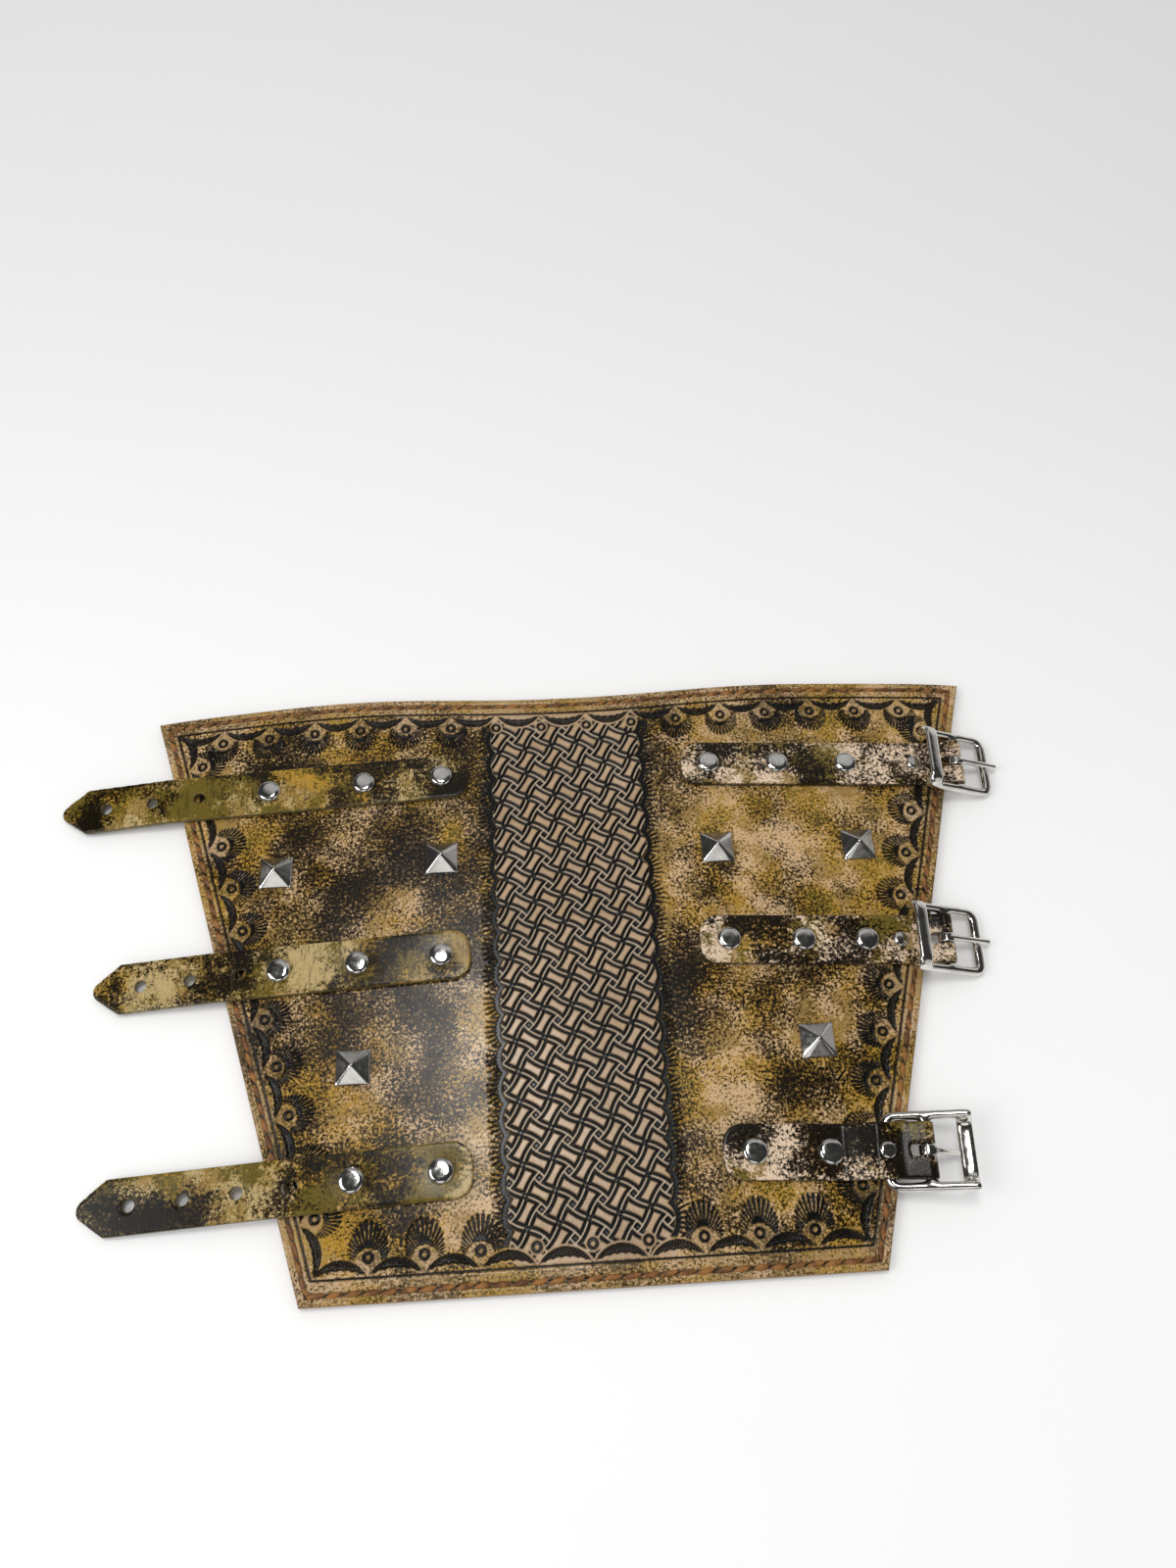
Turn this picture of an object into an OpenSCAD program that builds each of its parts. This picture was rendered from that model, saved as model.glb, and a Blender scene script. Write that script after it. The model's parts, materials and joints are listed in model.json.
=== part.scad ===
// Leather bracer, laid open with its outer face up and ready to be wrapped round a forearm.
// X runs across the panel, tongue straps at -X and buckles at +X. Y runs from wrist to elbow.
// The origin is the middle of the underside, so the bracer lies on the plane Z = 0.
// The leather bends along eight lines. Each strip between two of them is a node of its own.

/* [Panel] */
// Width across the elbow edge
elbow_w = 336; // [324:1:360]
// Width across the wrist edge
wrist_w = 196; // [190:1:214]
// Length from the wrist edge to the elbow edge
panel_h = 224; // [212:1:240]
// Thickness of the tooled outer leather
outer_t = 3.1; // [2.4:0.1:4]
// Thickness of the black lining
lining_t = 0.9; // [0.8:0.1:1.6]
// How far the lining stays inside the outer leather's edge
lining_inset = 0.5; // [0.2:0.1:1.5]

/* [Bend lines] */
// First bend on both sides, as a share of the way from the centreline to the side edge
bend_1 = 0.113; // [0.08:0.001:0.14]
// Second bend on the tongue side, as such a share
left_2 = 0.282; // [0.25:0.001:0.3]
// Third bend on the tongue side, as such a share
left_3 = 0.56; // [0.54:0.001:0.57]
// Fourth bend on the tongue side, as such a share at the elbow edge
left_4_elbow = 0.712; // [0.7:0.001:0.72]
// The same at the wrist edge
left_4_wrist = 0.818; // [0.8:0.001:0.83]
// Second bend on the buckle side, as such a share
right_2 = 0.327; // [0.3:0.001:0.34]
// Third bend on the buckle side, as such a share
right_3 = 0.583; // [0.57:0.001:0.6]
// Fourth bend on the buckle side, as such a share at the elbow edge
right_4_elbow = 0.852; // [0.84:0.001:0.86]
// The same at the wrist edge
right_4_wrist = 0.887; // [0.87:0.001:0.89]

/* [Straps] */
// Width of all six straps
strap_w = 19; // [17:0.5:21]
// Thickness of the strap leather
strap_t = 2.6; // [2.2:0.1:3.2]
// Corner radius of the straps' inner ends
strap_corner_r = 7; // [4:0.5:8]
// Strap leather inside of the inner rivet's centre
strap_heel = 11; // [9:0.5:12]
// Inner rivets of the elbow row from the elbow edge
row_elbow_in = 32; // [28:0.5:36]
// Inner rivets of the wrist row from the wrist edge
row_wrist_in = 40; // [36:0.5:44]
// Inner rivets of the middle row above the middle between the other two rows
row_middle_up = 1; // [-2:0.5:4]

/* [Tongues] */
// Slope of the tongues, towards the wrist as they run out
tongue_tilt = 2.5; // [1.5:0.5:3.5]
// Gap from the second bend to the caps of the inner rivets
tongue_heel_gap = 1.6; // [1:0.1:2.5]
// Gap from the elbow tongue's second rivet to the third bend, which it is inside of
tongue_elbow_gap_2 = 1.8; // [1:0.1:3]
// Gap from the middle tongue's second rivet to the third bend, which it is outside of
tongue_middle_gap_2 = 2.2; // [1:0.1:3]
// Gap from the wrist tongue's second rivet to the fourth bend, which it is inside of
tongue_wrist_gap_2 = 0.9; // [0.5:0.1:2]
// Gap from the elbow tongue's third rivet to the fourth bend, which it is outside of
tongue_elbow_gap_3 = 1.5; // [1:0.1:2.5]
// Gap from the middle tongue's third rivet to the fourth bend, which it is outside of
tongue_middle_gap_3 = 6; // [4:0.5:8]
// Reach of the elbow tongue past the panel's edge
tongue_elbow_reach = 46; // [40:1:60]
// Reach of the middle tongue past the panel's edge
tongue_middle_reach = 47; // [40:1:60]
// Reach of the wrist tongue past the panel's edge
tongue_wrist_reach = 66; // [56:1:72]
// Length of the pointed tip
tip_l = 10; // [8:0.5:14]
// Radius of the blunted nose of the tip
tip_r = 4; // [3:0.2:5]
// Diameter of the punched holes
hole_d = 4.3; // [3.6:0.1:5]
// First hole from the tip
hole_first = 18; // [16:0.5:20]
// Distance between holes
hole_pitch = 18.6; // [17:0.2:19]

/* [Chapes] */
// Slope of the chapes, towards the wrist as they run out
chape_tilt = 3.5; // [2:0.5:4.5]
// Gap from the second bend to the caps of the inner rivets
chape_heel_gap = 1.4; // [1:0.1:2.5]
// Gap from the elbow chape's second rivet to the third bend, which it is inside of
chape_elbow_gap_2 = 1.5; // [1:0.1:3]
// Gap from the middle chape's second rivet to the third bend, which it is outside of
chape_middle_gap_2 = 3; // [1:0.1:4]
// Gap from the wrist chape's second rivet to the fourth bend, which it is inside of
chape_wrist_gap_2 = 7.7; // [6:0.1:9]
// Gap from the elbow chape's third rivet to the fourth bend, which it is inside of
chape_elbow_gap_3 = 16; // [12:0.5:18]
// Gap from the middle chape's third rivet to the fourth bend, which it is inside of
chape_middle_gap_3 = 1.2; // [1:0.1:2]
// Centre bar past the panel's edge on the elbow chape
bar_elbow_reach = 2; // [1:0.2:8]
// Centre bar past the panel's edge on the middle chape
bar_middle_reach = 6.2; // [2:0.2:10]
// Centre bar past the panel's edge on the wrist chape
bar_wrist_reach = 7; // [6:0.2:10]
// Thickness of the pared leather where it folds round the bar
fold_t = 1.3; // [1:0.1:1.6]
// Length over which the chape thickens to its fold
fold_l = 9; // [7:0.5:9]
// Width of the slot in the fold that clears the prong's eye
slot_w = 4; // [3.9:0.1:5]
// Slot behind the bar, which lets the prong swing back
slot_back = 6; // [5:0.5:8]
// Tab rivet behind the bar on the elbow and middle chapes
tab_rivet_back = 17; // [16.6:0.2:18]
// Tab rivet behind the bar on the wrist chape
tab_wrist_back = 14; // [13:0.5:15]
// How far the wrist chape rises over the folded-back frame
wrist_lift = 4.6; // [4.3:0.1:5.2]

/* [Rivets and studs] */
// Radius of a rivet's cap
cap_r = 4.6; // [4:0.1:5]
// Height of a rivet's dome
cap_h = 1.6; // [1.2:0.1:2.2]
// Radius of a rivet's post
post_r = 1.5; // [1.2:0.1:1.8]
// Thickness of the cap on the inside, sunk in the lining
back_t = 0.5; // [0.4:0.1:0.7]
// Radius of the cap on the inside
back_r = 4; // [3.4:0.1:4.4]
// Radius of a tab rivet's cap
tab_cap_r = 3; // [2.6:0.1:3.4]
// Height of a tab rivet's dome
tab_cap_h = 1.1; // [0.9:0.1:1.5]
// Radius of a tab rivet's post
tab_post_r = 1; // [0.8:0.1:1.2]
// Side of a square stud
stud_w = 12.8; // [11:0.1:13]
// Inner studs of the tongue side above the middle between the elbow and middle rows
stud_left_up = 2.5; // [0:0.5:4]
// The same on the buckle side
stud_right_up = 1; // [0:0.5:4]
// Lower studs below the middle between the middle and wrist rows
stud_low_down = 1; // [0:0.5:4]
// Gap from the outer stud of the tongue side to the fourth bend, which it is outside of
stud_left_gap = 1.4; // [1:0.1:3]
// Gap from the outer stud of the buckle side to the fourth bend, which it is inside of
stud_right_gap = 5.8; // [4:0.1:8]
// Gap from the lower stud of the tongue side to the fourth bend, which it is inside of
stud_low_left_gap = 4.8; // [3:0.1:6]
// Gap from the lower stud of the buckle side to the third bend, which it is outside of
stud_low_right_gap = 8; // [6:0.1:10]
// Height of a stud's upright skirt
skirt_h = 0.9; // [0.6:0.1:1.4]
// Height of a stud to its point
stud_h = 5.2; // [4:0.1:6]
// Width of a stud's leg
leg_w = 1.8; // [1.4:0.1:2.4]
// Thickness of a stud's leg
leg_t = 0.6; // [0.5:0.1:0.8]
// Distance of a stud's legs from its middle
leg_x = 4.4; // [3.6:0.1:5]

/* [Buckles] */
// Radius of the centre bar
bar_r = 1.4; // [1.2:0.1:1.5]
// Gap between the strap's side and a rail
rail_gap = 0.75; // [0.5:0.05:1.2]
// Width of a side rail
rail_w = 3.1; // [2.6:0.1:3.6]
// Thickness of the frame
frame_t = 3; // [2.6:0.1:3.1]
// Outer end of the frame from the centre bar
frame_front = 15.6; // [14.5:0.1:16.5]
// Width of the end bar
end_bar_w = 3.8; // [3.2:0.1:4.4]
// Corner radius of the frame
frame_corner_r = 5; // [4:0.5:6]
// Inner end of the frame from the centre bar, which is the keeper's edge
frame_back = 16; // [15:0.1:16.4]
// Width of the keeper's plate
keeper_w = 5.6; // [4.5:0.1:6]
// Room under the keeper above the centre bar's middle
keeper_room = 3.5; // [3.2:0.1:4.5]
// Thickness of the keeper's plate
keeper_t = 1.4; // [1.1:0.1:1.7]
// Radius of the keeper's shoulders
keeper_r = 4; // [3:0.1:4.6]
// Thickness of the prong's wire
prong_d = 2.3; // [2:0.1:2.6]
// Width of the prong's eye
eye_w = 3.4; // [2.8:0.1:3.7]
// Wall of the prong's eye
eye_t = 1.5; // [1.2:0.1:1.8]
// Prong past the end bar
prong_past = 2.6; // [1.5:0.1:3.5]
// Depth of the prong's seat in the end bar
seat_depth = 0.5; // [0.3:0.1:0.8]

/* [Clearances] */
// Round a rivet's post and a stud's leg
fit_gap = 0.1; // [0.05:0.05:0.2]
// Between the centre bar and what turns on it
run_gap = 0.15; // [0.1:0.05:0.25]
// Between a part that lies on another, or on the table, and what carries it
rest_gap = 0.15; // [0.1:0.05:0.3]

/* [Hidden] */
SIDES = ["left", "right"];
ROWS = ["elbow", "middle", "wrist"];
PARTS = ["inner", "mid", "outer"];
STRIPS = ["left_4", "left_3", "left_2", "left_1", "centre", "right_1", "right_2", "right_3", "right_4"];
// Strips that carry rivets, and strips that carry studs
RIVETED = [-4, -3, -2, 2, 3, 4];
STUDDED = [-4, -3, -2, 2, 3];

$fn = 64;
half_h = panel_h / 2;
// Height of the panel's outer face, on which straps and studs lie
face_z = lining_t + outer_t;
// A cut reaches this far past what it cuts
over = 1;
// Tall enough to cut through anything that lies on the panel
tall = 40;
// Wide enough to pass every strap's end
far = 150;

// Half widths of the bend lines, and of the side edge as the fifth line, at both edges
LEFT_ELBOW = elbow_w / 2 * [bend_1, left_2, left_3, left_4_elbow, 1];
LEFT_WRIST = wrist_w / 2 * [bend_1, left_2, left_3, left_4_wrist, 1];
RIGHT_ELBOW = elbow_w / 2 * [bend_1, right_2, right_3, right_4_elbow, 1];
RIGHT_WRIST = wrist_w / 2 * [bend_1, right_2, right_3, right_4_wrist, 1];
function line_elbow(k) = k < 0 ? -LEFT_ELBOW[-k - 1] : RIGHT_ELBOW[k - 1];
function line_wrist(k) = k < 0 ? -LEFT_WRIST[-k - 1] : RIGHT_WRIST[k - 1];
function line_x(k, y) = line_wrist(k) + (y + half_h) / panel_h * (line_elbow(k) - line_wrist(k));
// The two lines that bound strip k, the one with the lower X first
function low_line(k) = k > 0 ? k : k - 1;
function high_line(k) = k < 0 ? k : k + 1;
// The strip that a point of the panel lies on
function strip_of(p) = let (s = p.x < 0 ? -1 : 1)
    s * len([for (n = [1:4]) if (abs(p.x) > abs(line_x(s * n, p.y))) n]);

// Rows of straps, in the order of ROWS
row_elbow = half_h - row_elbow_in;
row_wrist = row_wrist_in - half_h;
row_middle = (row_elbow + row_wrist) / 2 + row_middle_up;
ROW_Y = [row_elbow, row_middle, row_wrist];
// Columns of the inner rivets, from the centreline
tongue_x = -line_x(-2, row_elbow) + cap_r + tongue_heel_gap;
chape_x = line_x(2, row_elbow) + cap_r + chape_heel_gap;
TONGUE_REACH = [tongue_elbow_reach, tongue_middle_reach, tongue_wrist_reach];
HOLE_COUNT = [3, 3, 4];
BAR_REACH = [bar_elbow_reach, bar_middle_reach, bar_wrist_reach];
TAB_BACK = [tab_rivet_back, tab_rivet_back, tab_wrist_back];
LIFT = [0, 0, wrist_lift];

// Lean of the side edges from the Y axis
edge_slope = (elbow_w - wrist_w) / 2 / panel_h;
edge_lean = atan(edge_slope);
// A strap's own u runs out along it from its inner rivet, whose distance from the centreline is x.
// Distance u at which its middle line crosses line k of the panel
function cross_u(k, x, y, tilt) = let (m = abs(line_elbow(k) - line_wrist(k)) / panel_h)
    (abs(line_wrist(k)) + (y + half_h) * m - x) / (cos(tilt) + m * sin(tilt));
function tongue_cross(k, i) = cross_u(-k, tongue_x, ROW_Y[i], tongue_tilt);
function chape_cross(k, i) = cross_u(k, chape_x, ROW_Y[i], chape_tilt);
// Rivets of the straps, in the order of ROWS
TONGUE_RIVETS = [
    [0, tongue_cross(3, 0) - cap_r - tongue_elbow_gap_2, tongue_cross(4, 0) + cap_r + tongue_elbow_gap_3],
    [0, tongue_cross(3, 1) + cap_r + tongue_middle_gap_2, tongue_cross(4, 1) + cap_r + tongue_middle_gap_3],
    [0, tongue_cross(4, 2) - cap_r - tongue_wrist_gap_2]
];
CHAPE_RIVETS = [
    [0, chape_cross(3, 0) - cap_r - chape_elbow_gap_2, chape_cross(4, 0) - cap_r - chape_elbow_gap_3],
    [0, chape_cross(3, 1) + cap_r + chape_middle_gap_2, chape_cross(4, 1) - cap_r - chape_middle_gap_3],
    [0, chape_cross(4, 2) - cap_r - chape_wrist_gap_2]
];
// Where a tongue bends free of the panel, just past the edge at its elbow side
function free_u(i) = tongue_cross(5, i) + strap_w / 2 * tan(edge_lean + tongue_tilt) + rest_gap;
function tip_u(i) = tongue_cross(5, i) + TONGUE_REACH[i];
// A free tongue sags until its tip lies on the table
function sag(i) = asin((face_z - rest_gap) / (tip_u(i) - free_u(i)));
function bar_u(i) = chape_cross(5, i) + BAR_REACH[i];
// Points of the panel plane along a strap
function tongue_at(i, u) = [-tongue_x - u * cos(tongue_tilt), ROW_Y[i] - u * sin(tongue_tilt)];
function chape_at(i, u) = [chape_x + u * cos(chape_tilt), ROW_Y[i] - u * sin(chape_tilt)];

// Rivets and studs of the whole panel, in the panel plane
RIVETS = concat(
    [for (i = [0:2]) for (u = TONGUE_RIVETS[i]) tongue_at(i, u)],
    [for (i = [0:2]) for (u = CHAPE_RIVETS[i]) chape_at(i, u)]
);
stud_high = (row_elbow + row_middle) / 2;
stud_low = (row_middle + row_wrist) / 2 - stud_low_down;
function stud_beside(k, y, gap) = [line_x(k, y) + gap + sign(gap) * stud_w / 2, y];
stud_left_drop = (-line_x(-4, stud_high) - tongue_x) * tan(tongue_tilt);
stud_right_drop = (line_x(4, stud_high) - chape_x) * tan(chape_tilt) / 2;
STUDS = [
    [-tongue_x, stud_high + stud_left_up],
    stud_beside(-4, stud_high + stud_left_up - stud_left_drop, -stud_left_gap),
    stud_beside(-4, stud_low, stud_low_left_gap),
    [chape_x, stud_high + stud_right_up],
    stud_beside(4, stud_high + stud_right_up - stud_right_drop, -stud_right_gap),
    stud_beside(3, stud_low, stud_low_right_gap)
];
function on_strip(points, k) = [for (p = points) if (strip_of(p) == k) p];

// Fold round the centre bar, and the bar's height above the panel's face
fold_r = bar_r + run_gap + fold_t;
bar_h = fold_r + rest_gap;
wrist_bar_h = wrist_lift + strap_t / 2;
BAR_H = [bar_h, bar_h, wrist_bar_h];
frame_in = strap_w / 2 + rail_gap;
frame_out = frame_in + rail_w;
// A frame hangs from its bar until its end bar lies on the table, or a rail on the panel's edge
table_hang = asin((face_z + bar_h - rest_gap) / norm([frame_front, frame_t / 2]))
    - atan2(frame_t / 2, frame_front);
function rail_edge(i) = frame_out * tan(edge_lean + chape_tilt) - BAR_REACH[i];
function edge_hang(i) = acos((frame_t / 2 + rest_gap) / norm([rail_edge(i), bar_h])) - atan2(rail_edge(i), bar_h);
function hang(i) = min(table_hang, edge_hang(i));
// The wrist frame is swung right over, and its end bar lies on the panel under its chape
swung = 180 + asin((wrist_bar_h - rest_gap) / norm([frame_front, frame_t / 2])) - atan2(frame_t / 2, frame_front);
FRAME_TURN = [-hang(0), -hang(1), swung];
// The prongs of the two hanging buckles lie in the seats of their end bars
prong_h = frame_t / 2 - seat_depth + prong_d / 2 + run_gap / 3;
eye_r = bar_r + run_gap + eye_t;
prong_l = frame_front + prong_past;
prong_reach = prong_l - prong_d / 2;
// The wrist prong drops until its tip lies on the table
prong_drop = asin((face_z + wrist_bar_h - prong_d / 2 - rest_gap) / norm([prong_reach, prong_h]))
    + atan2(prong_h, prong_reach);
PRONG_TURN = [-hang(0), -hang(1), -prong_drop];

// A plate bounded by two lines of the panel, from z0 upwards
module between_lines(low, high, inset, z0, t) {
    translate([0, 0, z0])
        linear_extrude(t)
            polygon([
                [line_x(low, -half_h + inset), -half_h + inset],
                [line_x(high, -half_h + inset), -half_h + inset],
                [line_x(high, half_h - inset), half_h - inset],
                [line_x(low, half_h - inset), half_h - inset]
            ]);
}

// The space over one strip, which runs past the panel's own edges
module over_strip(k) {
    low = k == -4 ? -far : 0;
    high = k == 4 ? far : 0;
    y = half_h * 1.5;
    linear_extrude(tall)
        polygon([
            [line_x(low_line(k), -y) + low, -y],
            [line_x(high_line(k), -y) + high, -y],
            [line_x(high_line(k), y) + high, y],
            [line_x(low_line(k), y) + low, y]
        ]);
}

module at_tongue(i) {
    translate([-tongue_x, ROW_Y[i], face_z]) rotate([0, 0, 180 + tongue_tilt]) children();
}

module at_chape(i) {
    translate([chape_x, ROW_Y[i], face_z]) rotate([0, 0, -chape_tilt]) children();
}

module at_bar(i) {
    at_chape(i) translate([bar_u(i), 0, BAR_H[i]]) children();
}

// Round bar across a strap, centred on it
module across(r, w) {
    rotate([90, 0, 0]) cylinder(r = r, h = w, center = true);
}

// Flat shape of a strap's inner end, up to u
module heel_shape(u) {
    w = strap_w / 2 - strap_corner_r;
    translate([-strap_heel + strap_corner_r, -strap_w / 2]) square([u + strap_heel - strap_corner_r, strap_w]);
    translate([-strap_heel, -w]) square([strap_corner_r + over, 2 * w]);
    for (s = [-1, 1])
        translate([-strap_heel + strap_corner_r, s * w]) circle(strap_corner_r);
}

// Outer leather

module outer_blank(k) {
    low = low_line(k);
    high = high_line(k);
    difference() {
        between_lines(low, high, 0, lining_t, outer_t);
        for (p = on_strip(RIVETS, k))
            translate([p.x, p.y, lining_t - over]) cylinder(r = post_r + fit_gap, h = outer_t + 2 * over);
        for (p = on_strip(STUDS, k))
            translate([p.x, p.y, lining_t - over])
                for (s = [-1, 1])
                    translate([s * leg_x - leg_t / 2 - fit_gap, -leg_w / 2 - fit_gap, 0])
                        cube([leg_t + 2 * fit_gap, leg_w + 2 * fit_gap, outer_t + 2 * over]);
    }
}

module outer(k) {
    color("#a8863f") outer_blank(k);
}

// Black lining, with a sunk seat for the inner cap of each rivet

module lining_blank(k) {
    difference() {
        intersection() {
            between_lines(low_line(k), high_line(k), lining_inset, 0, lining_t);
            translate([0, 0, -over])
                linear_extrude(lining_t + 2 * over)
                    polygon([
                        [-wrist_w / 2 + lining_inset / cos(edge_lean), -half_h],
                        [wrist_w / 2 - lining_inset / cos(edge_lean), -half_h],
                        [elbow_w / 2 - lining_inset / cos(edge_lean), half_h],
                        [-elbow_w / 2 + lining_inset / cos(edge_lean), half_h]
                    ]);
        }
        for (p = on_strip(RIVETS, k))
            translate([p.x, p.y, -over]) {
                cylinder(r = post_r + fit_gap, h = lining_t + 2 * over);
                cylinder(r = back_r + fit_gap, h = back_t + fit_gap + over);
            }
    }
}

module lining(k) {
    color("#1b1917") lining_blank(k);
}

// Tongue straps: three lengths on the panel, cut at its bend lines, and a free end

module tongue_blank(i) {
    tip = tip_u(i);
    nose = tip - tip_r;
    difference() {
        linear_extrude(strap_t) {
            heel_shape(tip - tip_l);
            polygon([
                [tip - tip_l - over, -strap_w / 2],
                [tip - tip_l, -strap_w / 2],
                [nose + tip_r / 2, -tip_r * cos(30)],
                [nose + tip_r / 2, tip_r * cos(30)],
                [tip - tip_l, strap_w / 2],
                [tip - tip_l - over, strap_w / 2]
            ]);
            translate([nose, 0]) circle(tip_r);
        }
        for (u = TONGUE_RIVETS[i])
            translate([u, 0, -over]) cylinder(r = post_r + fit_gap, h = strap_t + 2 * over);
        for (n = [0:HOLE_COUNT[i] - 1])
            translate([tip - hole_first - n * hole_pitch, 0, -over])
                cylinder(d = hole_d, h = strap_t + 2 * over);
    }
}

// Length p of tongue i that lies on the panel: 0 inner, 1 mid, 2 outer
module tongue_length(i, p) {
    color("#6f6a2c") intersection() {
        at_tongue(i) intersection() {
            tongue_blank(i);
            translate([-strap_heel - over, -strap_w, -over])
                cube([free_u(i) + strap_heel + over, 2 * strap_w, tall]);
        }
        if (p == 0)
            union() {
                over_strip(-2);
                over_strip(-1);
            }
        else
            over_strip(-2 - p);
    }
}

module tongue_end(i) {
    color("#6f6a2c") at_tongue(i) intersection() {
        translate([free_u(i), 0, 0]) rotate([0, sag(i), 0])
            translate([-free_u(i), 0, 0]) tongue_blank(i);
        translate([free_u(i), -strap_w, -tall]) cube([far, 2 * strap_w, 2 * tall]);
    }
}

// Chape straps: three lengths, the last of which folds round the centre bar

module chape_side(i) {
    ub = bar_u(i);
    z = LIFT[i];
    foot = CHAPE_RIVETS[2][1] + cap_r + fit_gap;
    rise = i == 2 ? ub - TAB_BACK[i] - tab_cap_r - fit_gap : foot + strap_t;
    polygon([
        [-strap_heel, 0],
        [foot, 0],
        [rise, z],
        [ub - fold_l, z],
        [ub, BAR_H[i] - fold_r],
        [ub, BAR_H[i] + fold_r],
        [ub - fold_l, z + strap_t],
        [rise, z + strap_t],
        [foot, strap_t],
        [-strap_heel, strap_t]
    ]);
    translate([ub, BAR_H[i]]) circle(fold_r);
}

module chape_blank(i) {
    ub = bar_u(i);
    difference() {
        intersection() {
            linear_extrude(tall, center = true) heel_shape(ub + fold_r);
            rotate([90, 0, 0]) linear_extrude(2 * strap_w, center = true) chape_side(i);
        }
        for (u = CHAPE_RIVETS[i])
            translate([u, 0, -over]) cylinder(r = post_r + fit_gap, h = strap_t + 2 * over);
        translate([ub - TAB_BACK[i], 0, LIFT[i] - over]) {
            cylinder(r = tab_post_r + fit_gap, h = strap_t + 2 * over);
            cylinder(r = 2 * tab_post_r + fit_gap, h = back_t + fit_gap + over);
        }
        translate([ub, 0, BAR_H[i]]) across(bar_r + run_gap, 2 * strap_w);
        translate([ub - slot_back, -slot_w / 2, BAR_H[i] - tall / 2]) cube([slot_back + 2 * fold_r, slot_w, tall]);
    }
}

module chape_length(i, p) {
    color("#a58a6a") intersection() {
        at_chape(i) chape_blank(i);
        if (p == 0)
            union() {
                over_strip(1);
                over_strip(2);
            }
        else
            over_strip(2 + p);
    }
}

// Buckles: a cast frame with its centre bar and keeper in one, and a prong

// One half of the keeper's cross-section is the other's mirror, with arcs at its shoulders
module arch_shape(w, h, r) {
    intersection() {
        union() {
            translate([-w, -frame_t / 2]) square([2 * w, h + frame_t / 2 - r]);
            translate([-w + r, -frame_t / 2]) square([2 * (w - r), h + frame_t / 2]);
            for (s = [-1, 1])
                translate([s * (w - r), h - r]) circle(r);
        }
        translate([-w, -frame_t / 2]) square([2 * w, h + frame_t / 2]);
    }
}

module frame_shape() {
    difference() {
        union() {
            translate([-frame_back, -frame_out]) square([frame_back + frame_front - frame_corner_r, 2 * frame_out]);
            translate([0, -frame_out + frame_corner_r])
                square([frame_front, 2 * (frame_out - frame_corner_r)]);
            for (s = [-1, 1])
                translate([frame_front - frame_corner_r, s * (frame_out - frame_corner_r)])
                    circle(frame_corner_r);
        }
        translate([-frame_back - over, -frame_in])
            square([frame_back + over + frame_front - end_bar_w, 2 * frame_in]);
    }
}

module frame_blank() {
    difference() {
        translate([0, 0, -frame_t / 2]) linear_extrude(frame_t) frame_shape();
        translate([frame_front, 0, prong_h]) rotate([0, 90, 0])
            cylinder(r = prong_d / 2 + run_gap / 3, h = 4 * end_bar_w, center = true);
    }
    across(bar_r, 2 * frame_in + rail_w);
    translate([-frame_back, 0, 0]) rotate([90, 0, 90]) linear_extrude(keeper_w) difference() {
        arch_shape(frame_out, keeper_room + keeper_t, keeper_r);
        translate([0, -over]) arch_shape(frame_in, keeper_room + over, keeper_r - keeper_t);
    }
}

module buckle_frame(i) {
    color("#c4c2be") at_bar(i) rotate([0, -FRAME_TURN[i], 0]) frame_blank();
}

module prong_blank() {
    difference() {
        union() {
            across(eye_r, eye_w);
            translate([0, 0, prong_h]) rotate([0, 90, 0]) cylinder(d = prong_d, h = prong_reach);
            translate([prong_reach, 0, prong_h]) sphere(d = prong_d);
        }
        across(bar_r + run_gap, 2 * eye_w);
    }
}

module buckle_prong(i) {
    color("#c4c2be") at_bar(i) rotate([0, -PRONG_TURN[i], 0]) prong_blank();
}

// Rivets: a domed cap, a post through every layer and a flat cap sunk in the lining

module dome(r, h) {
    ball = (r * r + h * h) / (2 * h);
    intersection() {
        translate([0, 0, h - ball]) sphere(ball);
        cylinder(r = 2 * r, h = h + over);
    }
}

module rivet() {
    cylinder(r = back_r, h = back_t);
    cylinder(r = post_r, h = face_z + strap_t + cap_h / 2);
    translate([0, 0, face_z + strap_t]) dome(cap_r, cap_h);
}

module tab_rivet(i) {
    at_chape(i) translate([bar_u(i) - TAB_BACK[i], 0, LIFT[i]]) {
        cylinder(r = 2 * tab_post_r, h = back_t);
        cylinder(r = tab_post_r, h = strap_t + tab_cap_h / 2);
        translate([0, 0, strap_t]) dome(tab_cap_r, tab_cap_h);
    }
}

module rivets(k) {
    color("#c9c7c2") {
        for (p = on_strip(RIVETS, k)) translate([p.x, p.y, 0]) rivet();
        if (k == 4)
            for (i = [0:2]) tab_rivet(i);
    }
}

// Studs: a square pyramid on an upright skirt, with two legs through the outer leather

module gable(length) {
    rotate([90, 0, 0]) linear_extrude(length, center = true) polygon([
        [-stud_w / 2, 0],
        [stud_w / 2, 0],
        [stud_w / 2, skirt_h],
        [0, stud_h],
        [-stud_w / 2, skirt_h]
    ]);
}

module stud() {
    intersection() {
        gable(stud_w);
        rotate([0, 0, 90]) gable(stud_w);
    }
    for (s = [-1, 1])
        translate([s * leg_x - leg_t / 2, -leg_w / 2, -outer_t]) cube([leg_t, leg_w, outer_t + skirt_h / 2]);
}

module studs(k) {
    color("#b9b7b1") for (p = on_strip(STUDS, k)) translate([p.x, p.y, face_z]) stud();
}

for (k = [-4:4]) {
    outer(k);
    lining(k);
}
for (i = [0:2]) {
    for (p = [0:2]) {
        tongue_length(i, p);
        chape_length(i, p);
    }
    tongue_end(i);
    buckle_frame(i);
    buckle_prong(i);
}
for (k = RIVETED) {
    rivets(k);
}
for (k = STUDDED) {
    studs(k);
}
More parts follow.
